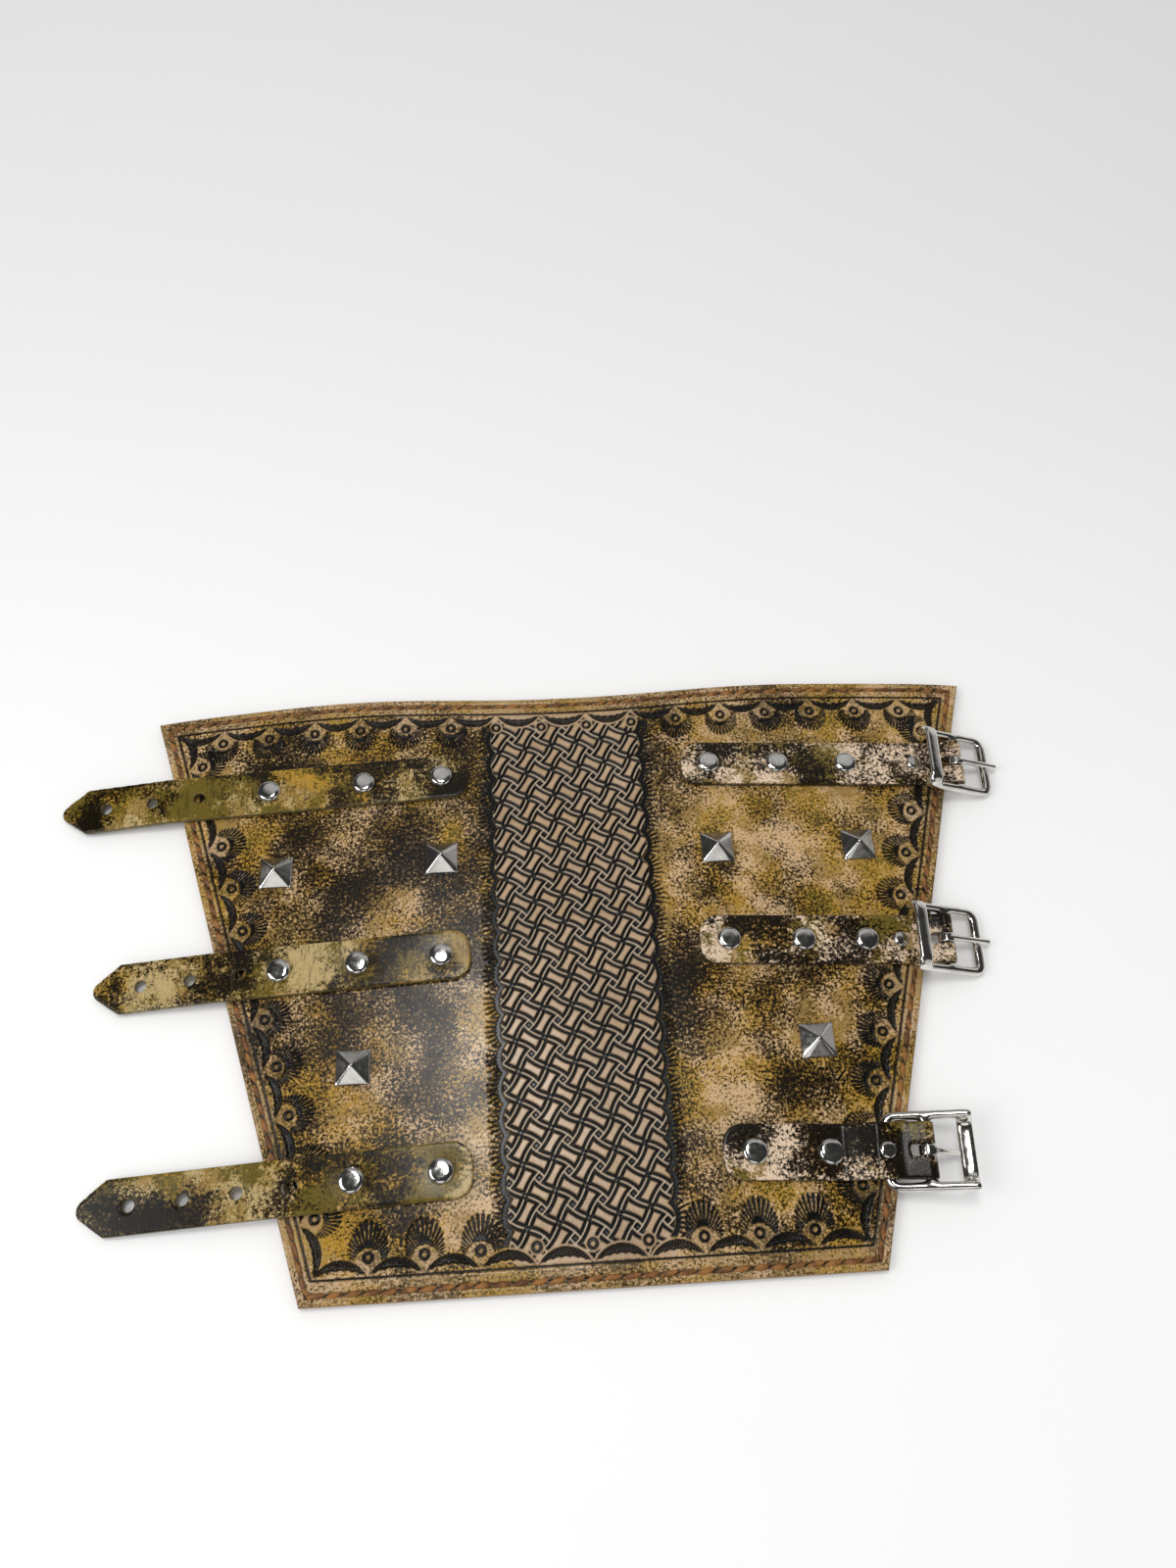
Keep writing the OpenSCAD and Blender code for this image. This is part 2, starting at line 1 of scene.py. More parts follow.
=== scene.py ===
# %% [markdown]
# # A leather bracer, laid open
# The real bracer is one sheet of thick tooled leather with a black lining, six riveted straps and three
# buckles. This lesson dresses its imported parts. The frame gives every size and place, so it is loaded
# first. Lengths below are in millimetres, and are turned into metres where a mesh is made.

# %% Load the frame
import json
import math
import bmesh
import bpy
import numpy as np
from mathutils import Matrix, Vector


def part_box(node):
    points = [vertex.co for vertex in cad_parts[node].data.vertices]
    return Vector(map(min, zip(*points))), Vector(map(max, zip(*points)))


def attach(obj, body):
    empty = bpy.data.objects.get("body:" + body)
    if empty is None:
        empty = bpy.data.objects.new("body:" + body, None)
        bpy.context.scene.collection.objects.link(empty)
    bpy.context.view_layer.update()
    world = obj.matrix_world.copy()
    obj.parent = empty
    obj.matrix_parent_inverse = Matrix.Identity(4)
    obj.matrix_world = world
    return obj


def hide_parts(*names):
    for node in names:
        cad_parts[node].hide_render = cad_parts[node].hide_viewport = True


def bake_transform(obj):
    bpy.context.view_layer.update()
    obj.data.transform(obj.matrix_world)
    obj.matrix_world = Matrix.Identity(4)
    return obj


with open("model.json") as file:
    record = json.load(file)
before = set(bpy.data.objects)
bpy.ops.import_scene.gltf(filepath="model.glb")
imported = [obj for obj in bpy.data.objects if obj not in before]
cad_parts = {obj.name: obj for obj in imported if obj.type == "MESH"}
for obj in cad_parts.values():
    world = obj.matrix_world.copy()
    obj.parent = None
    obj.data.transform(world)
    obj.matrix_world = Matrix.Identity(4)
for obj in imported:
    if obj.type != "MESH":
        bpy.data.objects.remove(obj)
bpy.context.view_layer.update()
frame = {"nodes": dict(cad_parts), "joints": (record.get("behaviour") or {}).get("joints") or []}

MM = 0.001
scene = bpy.context.scene

# %% [markdown]
# ## Sizes that the frame gives
# The bend lines are the axes of the panel's hinges. The side edges are read from the corners of the
# outermost strips. Reading them here, and not typing them again, keeps the dressing on the parts if a
# size changes.

# %% Points of the parts, in millimetres
SAME_PLACE = 0.05


def read_vectors(mesh, what="co"):
    """Places or normals of all vertices, as rows of X, Y and Z."""
    values = np.empty(len(mesh.vertices) * 3)
    mesh.vertices.foreach_get(what, values)
    return values.reshape(-1, 3)


def side_reach(node, y):
    """How far a strip reaches from the centreline at one of its two ends, in millimetres."""
    points = read_vectors(bpy.data.objects[node].data) / MM
    return abs(points[abs(points[:, 1] - y) < SAME_PLACE, 0]).max()


outer_low, outer_high = (np.array(corner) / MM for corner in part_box("outer_left_4"))
HALF_H = outer_high[1]
FACE_Z = outer_high[2]
LINING_Z = outer_low[2]
WRIST_HALF = side_reach("outer_left_4", -HALF_H)
ELBOW_HALF = side_reach("outer_left_4", HALF_H)
SIDE_SLOPE = (ELBOW_HALF - WRIST_HALF) / (2 * HALF_H)
SIDE_COS = math.cos(math.atan(SIDE_SLOPE))
JOINTS = {joint["name"]: joint for joint in frame["joints"]}
BENDS = {
    -1: ["bend_left_1", "bend_left_2", "bend_left_3", "bend_left_4"],
    1: ["wrap", "bend_right_2", "bend_right_3", "bend_right_4"],
}
BODY_NAMES = {
    -1: ["centre", "left_1", "left_2", "left_3", "left_4"],
    1: ["centre", "right_1", "right_2", "right_3", "right_4"],
}


def axis_line(name):
    """A point on a joint's axis in millimetres, and the axis's direction."""
    joint = JOINTS[name]
    return np.array(joint["pos_m"]) / MM, np.array(joint["axis"])


def bend_x(side, n, y):
    """X of bend line n of one side, at a given Y."""
    point, axis = axis_line(BENDS[side][n - 1])
    return point[0] + (y - point[1]) * axis[0] / axis[1]


def side_x(y):
    """Distance from the centreline to the side edge, at a given Y."""
    return WRIST_HALF + (y + HALF_H) * SIDE_SLOPE


print("half widths:", round(WRIST_HALF, 2), round(ELBOW_HALF, 2), "face at", round(FACE_Z, 2))

# %% [markdown]
# ## The grid of the panel
# Tooling is pressed into the leather, so it is modelled as relief on a fine grid, about as fine as the
# eye sees at arm's length. All columns run from the wrist edge to the elbow edge. Some of them lie midway
# between two bend lines, so that the panel can be cut there into pieces that each hold one bend line. The
# columns near the side edges keep their distance from the edge, and so follow the border.

# %% Columns and rows
EDGE_STEPS = [0, 0.12, 0.3, 0.55, 0.85, 1.2]
BORDER_W = 24
CELL = 0.37
STRIP_STEPS = [83, 90, 86, 86]


def side_columns(side):
    """Columns of one side from the centreline out: X at the wrist, X at the elbow, and where pieces meet."""
    ends = []
    for y in (-HALF_H, HALF_H):
        lines = [abs(bend_x(side, n, y)) for n in (1, 2, 3, 4)]
        mids = [(lines[n] + lines[n + 1]) / 2 for n in range(3)]
        border = side_x(y) - BORDER_W / SIDE_COS
        knots = [0] + mids + [border]
        runs = [np.linspace(knots[n], knots[n + 1], STRIP_STEPS[n], endpoint=False) for n in range(4)]
        steps = np.concatenate([EDGE_STEPS, np.arange(EDGE_STEPS[-1] + CELL, BORDER_W, CELL), [BORDER_W]])
        runs.append((side_x(y) - steps / SIDE_COS)[::-1])
        ends.append(np.concatenate(runs))
    seams = np.cumsum([0] + STRIP_STEPS[:3]).tolist() + [len(ends[0]) - 1]
    return ends[0], ends[1], seams


left_wrist, left_elbow, left_seams = side_columns(-1)
right_wrist, right_elbow, right_seams = side_columns(1)
middle = len(left_wrist) - 1
wrist_x = np.concatenate([-left_wrist[:0:-1], right_wrist])
elbow_x = np.concatenate([-left_elbow[:0:-1], right_elbow])
edge_rows = np.array(EDGE_STEPS)
inner_rows = np.arange(EDGE_STEPS[-1] + CELL, 2 * HALF_H - EDGE_STEPS[-1] - CELL / 2, CELL)
rows = np.concatenate([edge_rows, inner_rows, 2 * HALF_H - edge_rows[::-1]]) - HALF_H
share = ((rows + HALF_H) / (2 * HALF_H))[:, None]
PX = wrist_x[None, :] * (1 - share) + elbow_x[None, :] * share
PY = np.repeat(rows[:, None], len(wrist_x), axis=1)
print("panel grid:", PX.shape, "cells:", (PX.shape[0] - 1) * (PX.shape[1] - 1))

# %% [markdown]
# ## Pressed lines and stamps
# A leather worker cuts a border line, walks a crescent stamp along it, sets a round seed at every cusp
# and strikes a shell-shaped fan behind it. Each stamp is written here as a formula of its own two
# coordinates: along the border and inward from it. Every formula gives two maps: how deep the leather is
# pressed, and where the black antique stays in the recess. A painted image could give both, but a formula
# follows a change of size. The two numbers in a call of soft say where a fading edge begins and ends,
# mostly in millimetres.

# %% Sizes of the stamps
LINE_INSET = {"elbow": 7, "side": 6, "wrist": 8}
LINE_HALF_W = 0.42
CRESCENT_COUNT = {"elbow": 17, "side": 12, "wrist": 10}
CRESCENT_OUT = 6.0
CRESCENT_IN = 2.2
CRESCENT_DEPTH = 0.75
LOBES = 7
LOBE_HEIGHT = 0.4
RIDGE_PITCH = 1.05
RIDGE_HEIGHT = 0.1
RIDGE_WEAR = 0.12
SEED_IN = 6.1
SEED_R = 2.0
SEED_DOT = 0.8
SEED_DEPTH = 0.55
FAN_HALF_W = 6.6
FAN_REACH = {"elbow": 8.8, "side": 9.6, "wrist": 11.8}
FAN_ROOT = 2.2
FAN_CENTRE = 1.6
FAN_RAYS = 17
FAN_SPREAD = math.radians(68)
FAN_DEPTH = 0.6
EYE_HALF_W = 4.5
EYE_HEIGHT = 3.2
EYE_SHIFT = 0.3
EYE_BARE = 0.45
BAND_ELBOW = 28.6
BAND_WRIST = 25.8
FAR = 99.0
print("crescents on each kind of edge:", CRESCENT_COUNT)

# %% Maps of the panel
depth = np.zeros_like(PX)
ink = np.zeros_like(PX)
bare = np.zeros_like(PX)


def soft(value, low, high):
    """0 below low, 1 above high, and smooth between."""
    t = np.clip((value - low) / (high - low), 0, 1)
    return t * t * (3 - 2 * t)


def chord_circle(chord, height):
    """Radius of the circle over a chord, and its centre's distance inward from the chord."""
    radius = (chord * chord / 4 + height * height) / (2 * height)
    return radius, height - radius


def band_half(y):
    """Half width of the woven band."""
    return BAND_WRIST + (y + HALF_H) / (2 * HALF_H) * (BAND_ELBOW - BAND_WRIST)


def inset_corners(elbow, side, wrist):
    """The panel's corners, moved in by a width for each kind of edge, clockwise from the top left."""
    places = ((-1, HALF_H - elbow), (1, HALF_H - elbow), (1, wrist - HALF_H), (-1, wrist - HALF_H))
    return [np.array((s * (side_x(y) - side / SIDE_COS), y)) for s, y in places]


def border_sides():
    """The four border lines: name, distance along, depth inward, length."""
    corners = inset_corners(**LINE_INSET)
    for n, name in enumerate(("elbow", "side", "wrist", "side")):
        start = corners[n]
        run = corners[(n + 1) % 4] - start
        length = np.hypot(*run)
        run = run / length
        along = (PX - start[0]) * run[0] + (PY - start[1]) * run[1]
        inward = (PX - start[0]) * run[1] - (PY - start[1]) * run[0]
        yield name, along, inward, length


sides = list(border_sides())
field = np.minimum.reduce([inward for _, _, inward, _ in sides])
print("border pitches:", [round(length / CRESCENT_COUNT[name], 2) for name, _, _, length in sides])

# %% Crescents, seeds and fans
def crescent(u, v, pitch):
    """How far a point lies inside a crescent's arch and inside its stamp, and the ridges there."""
    out_r, out_v = chord_circle(pitch, CRESCENT_OUT)
    in_r, in_v = chord_circle(pitch, CRESCENT_IN)
    lobes = LOBE_HEIGHT * abs(np.sin(LOBES * math.pi * (u / pitch + 0.5)))
    arch = out_r - np.hypot(u, v - out_v)
    ridges = np.cos(np.arctan2(u, v - out_v) * out_r * 2 * math.pi / RIDGE_PITCH)
    return arch, np.minimum(arch, np.hypot(u, v - in_v) - in_r - lobes), ridges


def seed(r):
    """Ink and depth of a seed: a pressed ring round a bright dot."""
    ring = soft(r, SEED_DOT - 0.18, SEED_DOT + 0.18) * (1 - soft(r, SEED_R - 0.1, SEED_R + 0.2))
    return ring, SEED_DEPTH * ring


def fan(u, q, lean, far):
    """Ink and depth of a fan, whose rays spread from behind the seed. lean darkens one half."""
    lid_r, lid_q = chord_circle(2 * EYE_HALF_W, EYE_HEIGHT)
    lid = np.hypot(u, q - lid_q + EYE_SHIFT) - lid_r
    reach = np.sqrt((u / FAN_HALF_W) ** 2 + ((q - FAN_ROOT) / (far - FAN_ROOT)) ** 2)
    turn = np.arctan2(u, q + FAN_CENTRE)
    rays = np.cos(turn * (FAN_RAYS - 1) * math.pi / FAN_SPREAD)
    shape = (1 - soft(reach + 0.05 * rays, 0.95, 1.03)) * soft(lid, 0.0, 0.35) * soft(q, -0.9, -0.4)
    bright = soft(rays, 0.4, 0.85) * soft(reach, 0.30, 0.5) * (1.0 - 0.75 * soft(lean * turn, 0.1, 0.8))
    return shape * (1 - bright), shape * FAN_DEPTH * (1 - 0.7 * bright), 1 - soft(lid, -0.25, 0.05)


def press(new_ink, new_depth):
    """Adds one stamp to the maps of the whole panel."""
    np.maximum(ink, new_ink, out=ink)
    np.maximum(depth, new_depth, out=depth)


# %% Stamps along the borders
arches = np.full_like(PX, -FAR)
seeds = np.full_like(PX, FAR)
for name, along, inward, length in sides[1::2] + sides[0::2]:
    pitch = length / CRESCENT_COUNT[name]
    on_side = (along > 0) & (along < length) & (inward > -0.3)
    u = (along / pitch) % 1 * pitch - pitch / 2
    arch, inside, ridges = crescent(u, inward, pitch)
    inside = np.where(on_side, inside, -FAR)
    np.maximum(arches, np.where(on_side, arch, -FAR), out=arches)
    hollow = CRESCENT_DEPTH * soft(inside, 0, 0.8) - RIDGE_HEIGHT * ridges * soft(inside, 0.3, 0.8)
    press(soft(inside, -0.1, 0.25) * (1 - RIDGE_WEAR * soft(ridges, 0, 1)), hollow)
    cusp = np.clip(np.round(along / pitch), 1, CRESCENT_COUNT[name] - 1)
    u = along - cusp * pitch
    q = inward - SEED_IN
    np.minimum(seeds, np.hypot(u, q), out=seeds)
    lean = np.sin(cusp * 2.7 + length)
    fan_ink, fan_depth, eye = fan(u, q, lean, FAN_REACH[name])
    if name != "side":
        beside_band = soft(abs(PX) - band_half(PY), 3.0, 4.5)
        fan_ink, fan_depth = fan_ink * beside_band, fan_depth * beside_band
    press(fan_ink, fan_depth)
    np.maximum(bare, eye * on_side * EYE_BARE, out=bare)
seed_ink, seed_depth = seed(seeds)
around_seed = 1 - soft(seeds, SEED_R + 0.3, SEED_R + 0.8)
ink = ink * (1 - around_seed) + seed_ink
depth = depth * (1 - around_seed) + seed_depth
print("share of the panel under border stamps:", round(float((ink > 0.5).mean()), 3))

# %% [markdown]
# ## The woven band
# The middle band is stamped with a basket weave. Its lines run from cross to cross and curl past the
# eyes, which lie on a lattice. One arm of the curl is enough, because the pattern repeats by quarter
# turns round each eye. The distance from the nearest arm then says what a point is: the raised line, the
# black furrow on both its sides, or the tan pad between furrows.

# %% Lattice of the weave
EYE_AT = (-9.87, 42.1)
EYE_RIGHT = (10.66, 1.19)
EYE_UP = (-0.3, 10.6)
WEAVE_CELL = 10.6
WEAVE_DEPTH = 0.6
CROSS_DEPTH = 0.45
FURROW = 1.5
SCALLOP_ROOM = 8
ARM_FROM = -0.14
ARM_TOP = 0.1
ARM_TO = 0.707
ARM_HEIGHT = 0.132
ARM_SLOPE = 0.34
cell_area = EYE_RIGHT[0] * EYE_UP[1] - EYE_RIGHT[1] * EYE_UP[0]
WANDER = 0.22
TREMBLE = 0.12
wander_x = PX + WANDER * np.sin(PY / 7.3 + PX / 11) + TREMBLE * np.sin(PY / 3.1 - PX / 5)
wander_y = PY + WANDER * np.sin(PX / 6.7 - PY / 13) + TREMBLE * np.sin(PX / 2.9 + PY / 4.3)
off_x, off_y = wander_x - EYE_AT[0], wander_y - EYE_AT[1]
lattice_a = (off_x * EYE_UP[1] - off_y * EYE_UP[0]) / cell_area
lattice_c = (off_y * EYE_RIGHT[0] - off_x * EYE_RIGHT[1]) / cell_area
print("area of a weave cell:", round(cell_area, 1))


# %% Lines, furrows and pads
def arm_distance(a, c):
    """Distance in cells from the nearest of the four arms that curl out of an eye."""
    nearest = np.full_like(a, FAR)
    for _ in range(4):
        a, c = c, -a
        p, q = (a - c) / math.sqrt(2), (-c - a) / math.sqrt(2)
        held = np.clip(p, ARM_FROM, ARM_TO)
        phase = math.pi / 2 * (held - ARM_TOP) / (ARM_TO - ARM_TOP)
        stretch = np.sqrt(1 + (ARM_SLOPE * np.sin(phase)) ** 2)
        nearest = np.minimum(nearest, np.hypot((q - ARM_HEIGHT * np.cos(phase)) / stretch, p - held))
    return nearest


line_gap = np.full_like(PX, FAR)
near_band = abs(PX) < BAND_ELBOW + SCALLOP_ROOM
cell_a, cell_c = (lattice[near_band] % 1 for lattice in (lattice_a, lattice_c))
gaps = [arm_distance(cell_a - step_a, cell_c - step_c) for step_a in (0, 1) for step_c in (0, 1)]
line_gap[near_band] = np.minimum.reduce(gaps) * WEAVE_CELL
eye_r = np.hypot(lattice_a - np.round(lattice_a), lattice_c - np.round(lattice_c)) * WEAVE_CELL
cross_r = np.hypot(lattice_a % 1 - 0.5, lattice_c % 1 - 0.5) * WEAVE_CELL
furrow = soft(line_gap, 0.06, 0.32) * (1 - soft(line_gap, FURROW - 0.2, FURROW + 0.42))
weave_ink = np.maximum(furrow, 1 - soft(cross_r, 0.9, 1.4))
weave_ink = np.maximum(weave_ink, 1 - soft(eye_r, 0.95, 1.2))
furrow_wall = soft(line_gap, 0.15, 0.6) * (1 - soft(line_gap, 1.0, 1.6))
weave_depth = WEAVE_DEPTH * np.maximum(furrow_wall, 1 - soft(eye_r, 0.7, 1.2))
weave_depth = np.maximum(weave_depth, CROSS_DEPTH * (1 - soft(cross_r, 0.8, 1.6)))
print("eyes across the band:", round(2 * BAND_ELBOW / EYE_RIGHT[0], 1))

# %% Scalloped edges of the band
SCALLOP_OUT = 2.4
SCALLOP_SOLID = 1.9
SCALLOP_RAYS = 4.4
SCALLOP_TURN = math.radians(9.3)
SCALLOP_DEPTH = 0.55
BAND_BARE = 0.93
scallop_r, scallop_in = chord_circle(WEAVE_CELL, SCALLOP_OUT)
beyond = abs(PX) - band_half(PY)
scallop_t = (lattice_c - np.round(lattice_c)) * WEAVE_CELL
past_arc = np.where(beyond < scallop_in, -scallop_r, np.hypot(scallop_t, beyond - scallop_in) - scallop_r)
ray_turn = np.arctan2(scallop_t, beyond - scallop_in)
taper = soft(past_arc, SCALLOP_SOLID, SCALLOP_SOLID + SCALLOP_RAYS)
ray = soft(np.cos(ray_turn * 2 * math.pi / SCALLOP_TURN) - 1.35 * taper + 0.45, -0.2, 0.3)
solid = soft(past_arc, -0.1, 0.2) * (1 - soft(past_arc, SCALLOP_SOLID, SCALLOP_SOLID + 0.3))
scallop_ink = np.maximum(solid, ray * soft(past_arc, 0, 0.2) * (1 - soft(taper, 0.9, 1.0)))
inside_band = 1 - soft(past_arc, -0.15, 0.1)
clear = (1 - soft(arches, -0.75, -0.4)) * soft(field, 1.0, 1.6) * soft(seeds, SEED_R + 0.4, SEED_R + 0.9)
press(weave_ink * inside_band * clear, weave_depth * inside_band * clear)
press(scallop_ink * clear, SCALLOP_DEPTH * scallop_ink * clear)
bare = np.maximum(bare, BAND_BARE * inside_band * soft(field, 0, 1))
# painted highlight: the crests of the raised weave lines are painted paler and greyer
strand = (1 - soft(line_gap, 0.14, 0.34)) * inside_band * clear * soft(cross_r, 1.0, 1.5)

# %% Border line, stitch groove, worn edge and rounded shoulder
STITCH_IN = 3.4
GROOVE_INK = 0.88
GROOVE_DEPTH = 0.42
MARGIN_BARE = 0.38
LINE_DEPTH = 0.4
FACE_SINK = 0.06
SWELL = 0.05
SHOULDER_R = 1.2
SHOULDER_DROP = 0.75
BOW_RISE = 3.1
BOW_HUMPS = ((-82, 52, 3.3), (78, 48, 2.5))
BOW_FROM_Y = 30
edge_gaps = [HALF_H - PY, HALF_H + PY, (side_x(PY) - PX) * SIDE_COS, (side_x(PY) + PX) * SIDE_COS]
edge_gap = np.minimum.reduce(edge_gaps)
border_line = 1 - soft(abs(field), LINE_HALF_W - 0.15, LINE_HALF_W + 0.2)
press(border_line, LINE_DEPTH * border_line)
groove = 1 - soft(abs(edge_gap - STITCH_IN), 0.45, 1.1)
press(GROOVE_INK * groove, GROOVE_DEPTH * groove)
bare = np.maximum(bare, MARGIN_BARE * (1 - soft(field, -0.3, 0.6)))
over_edge = np.clip(1 - edge_gap / SHOULDER_R, 0, 1)
shoulder = SHOULDER_DROP * (1 - np.sqrt(1 - over_edge ** 2))
swell = SWELL * np.sin(PX / 17 + 1.3 * np.sin(PY / 23)) * np.sin(PY / 19 + 0.8)
PZ = FACE_Z - FACE_SINK - depth - shoulder + swell * soft(edge_gap, 0, 6)


def bow(x, y):
    """How far the elbow edge swells outward, fading to nothing down the panel."""
    swells = BOW_RISE + sum(rise * np.exp(-((x - at) / width) ** 2) for at, width, rise in BOW_HUMPS)
    return swells * (1 - (x / ELBOW_HALF) ** 8) * soft(y, BOW_FROM_Y, HALF_H + 4)


BOWED_Y = PY + bow(PX, PY)
print("relief from", round(float(PZ.min()), 2), "to", round(float(PZ.max()), 2))
print("elbow edge swells by up to", round(float((BOWED_Y - PY).max()), 2))

# %% [markdown]
# ## From maps to a sheet cut at its bend lines
# The sheet is cut midway between its eight bend lines, so that each piece holds one line, between the two
# strips on its sides. A piece is a closed body: a fine top, a coarse underside and walls whose faces join the
# fine edge to the coarse one. The shading normals come from the whole sheet before it is cut, so no seam
# shows. Every vertex keeps its place in the flat sheet as an attribute, and the dye is painted by that
# place, so it stays put when the sheet bends.

# %% Meshes from arrays
def set_field(mesh, key, values):
    """Stores a number or a vector on each vertex, for materials and trees to read."""
    kind, part = ("FLOAT", "value") if values.ndim == 1 else ("FLOAT_VECTOR", "vector")
    mesh.attributes.new(key, kind, "POINT").data.foreach_set(part, values.astype(np.float32).ravel())


def keep_flat(piece):
    """Stores each vertex's place in the flat sheet, in metres, for the dye."""
    set_field(piece.data, "flat", read_vectors(piece.data))


def new_piece(name, mesh, material=None):
    """An object in the scene for a mesh, in one material."""
    if material:
        mesh.materials.clear()
        mesh.materials.append(material)
    piece = bpy.data.objects.new(name, mesh)
    scene.collection.objects.link(piece)
    return piece


def make_mesh(name, points, faces, material, fields=None):
    """A piece of points in millimetres and faces of any size, with its flat place and other fields on it."""
    mesh = bpy.data.meshes.new(name)
    sizes = np.concatenate([np.full(len(part), part.shape[1]) for part in faces])
    corners = np.concatenate([part.ravel() for part in faces]).astype(np.int32)
    mesh.vertices.add(len(points))
    mesh.vertices.foreach_set("co", (points * MM).astype(np.float32).ravel())
    mesh.loops.add(len(corners))
    mesh.loops.foreach_set("vertex_index", corners)
    mesh.polygons.add(len(sizes))
    mesh.polygons.foreach_set("loop_start", (np.cumsum(sizes) - sizes).astype(np.int32))
    mesh.update(calc_edges=True)
    for key, values in (fields or {}).items():
        set_field(mesh, key, values)
    piece = new_piece(name, mesh, material)
    keep_flat(piece)
    return piece


# %% Grids and their normals
def quads(index):
    """Faces of a grid of vertex numbers, which point up when X runs along rows and Y along columns."""
    return np.stack([index[:-1, :-1], index[:-1, 1:], index[1:, 1:], index[1:, :-1]], axis=-1).reshape(-1, 4)


def sheet_normals(x, y, z):
    """Upward unit normals of a grid surface."""
    along = np.stack([np.gradient(x, axis=1), np.gradient(y, axis=1), np.gradient(z, axis=1)], axis=-1)
    up = np.stack([np.gradient(x, axis=0), np.gradient(y, axis=0), np.gradient(z, axis=0)], axis=-1)
    normals = np.cross(along, up)
    return normals / np.linalg.norm(normals, axis=-1, keepdims=True)


def coarse(count, step):
    """Every step-th of count grid lines, with the last one."""
    picked = np.arange(0, count - 1, step)
    if count - 1 - picked[-1] < step / 2:
        picked = picked[:-1]
    return np.append(picked, count - 1)


print("every 8th of 20 grid lines, and the last:", coarse(20, 8).tolist())

# %% A closed sheet
RIM_TILT = 0.02


def closed_sheet(name, x, y, top_z, low_z, step, normals, material, fields=None):
    """A grid surface made a closed body with a coarse flat underside."""
    count_r, count_c = x.shape
    top = np.arange(count_r * count_c).reshape(count_r, count_c)
    pick_r, pick_c = coarse(count_r, step[0]), coarse(count_c, step[1])
    low = top.size + np.arange(len(pick_r) * len(pick_c)).reshape(len(pick_r), len(pick_c))
    spot = np.ix_(pick_r, pick_c)
    top_points = np.stack([x, y, top_z], axis=-1).reshape(-1, 3)
    low_points = np.stack([x[spot], y[spot], np.full(low.shape, low_z)], axis=-1).reshape(-1, 3)
    walls = []
    for top_line, low_line, picked in (
        (top[0], low[0], pick_c),
        (top[-1][::-1], low[-1][::-1], (count_c - 1 - pick_c)[::-1]),
        (top[:, -1], low[:, -1], pick_r),
        (top[::-1, 0], low[::-1, 0], (count_r - 1 - pick_r)[::-1]),
    ):
        for n in range(len(picked) - 1):
            fine = top_line[picked[n]:picked[n + 1] + 1][::-1]
            walls.append(np.concatenate([[low_line[n], low_line[n + 1]], fine])[None, :])
    points = np.concatenate([top_points, low_points])
    extra = {key: np.concatenate([grid.ravel(), grid[spot].ravel()]) for key, grid in (fields or {}).items()}
    piece = make_mesh(name, points, [quads(top), quads(low)[:, ::-1]] + walls, material, extra)
    low_normals = np.tile([0.0, 0.0, -1.0], (low.size, 1)).reshape(*low.shape, 3)
    rim = np.zeros(low.shape, bool)
    rim[0], rim[-1], rim[:, 0], rim[:, -1] = True, True, True, True
    low_normals[rim] = normals[spot][rim] * (1, 1, 0) + (0, 0, -RIM_TILT)
    low_normals[rim] /= np.linalg.norm(low_normals[rim], axis=-1, keepdims=True)
    both = np.concatenate([normals.reshape(-1, 3), low_normals.reshape(-1, 3)])
    piece.data.polygons.foreach_set("use_smooth", np.ones(len(piece.data.polygons), bool))
    piece.data.normals_split_custom_set_from_vertices(both.tolist())
    return piece


def bend_piece(piece):
    """Bakes a piece's place into its mesh."""
    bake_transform(piece)


SIDE_NAMES = {-1: "left", 1: "right"}
SEAMS = [middle - s for s in left_seams[::-1]] + [middle + s for s in right_seams[1:]]
PATCHES = [(-1, 4), (-1, 3), (-1, 2), (-1, 1), (1, 1), (1, 2), (1, 3), (1, 4)]
print("pieces of the sheet meet at columns", SEAMS)
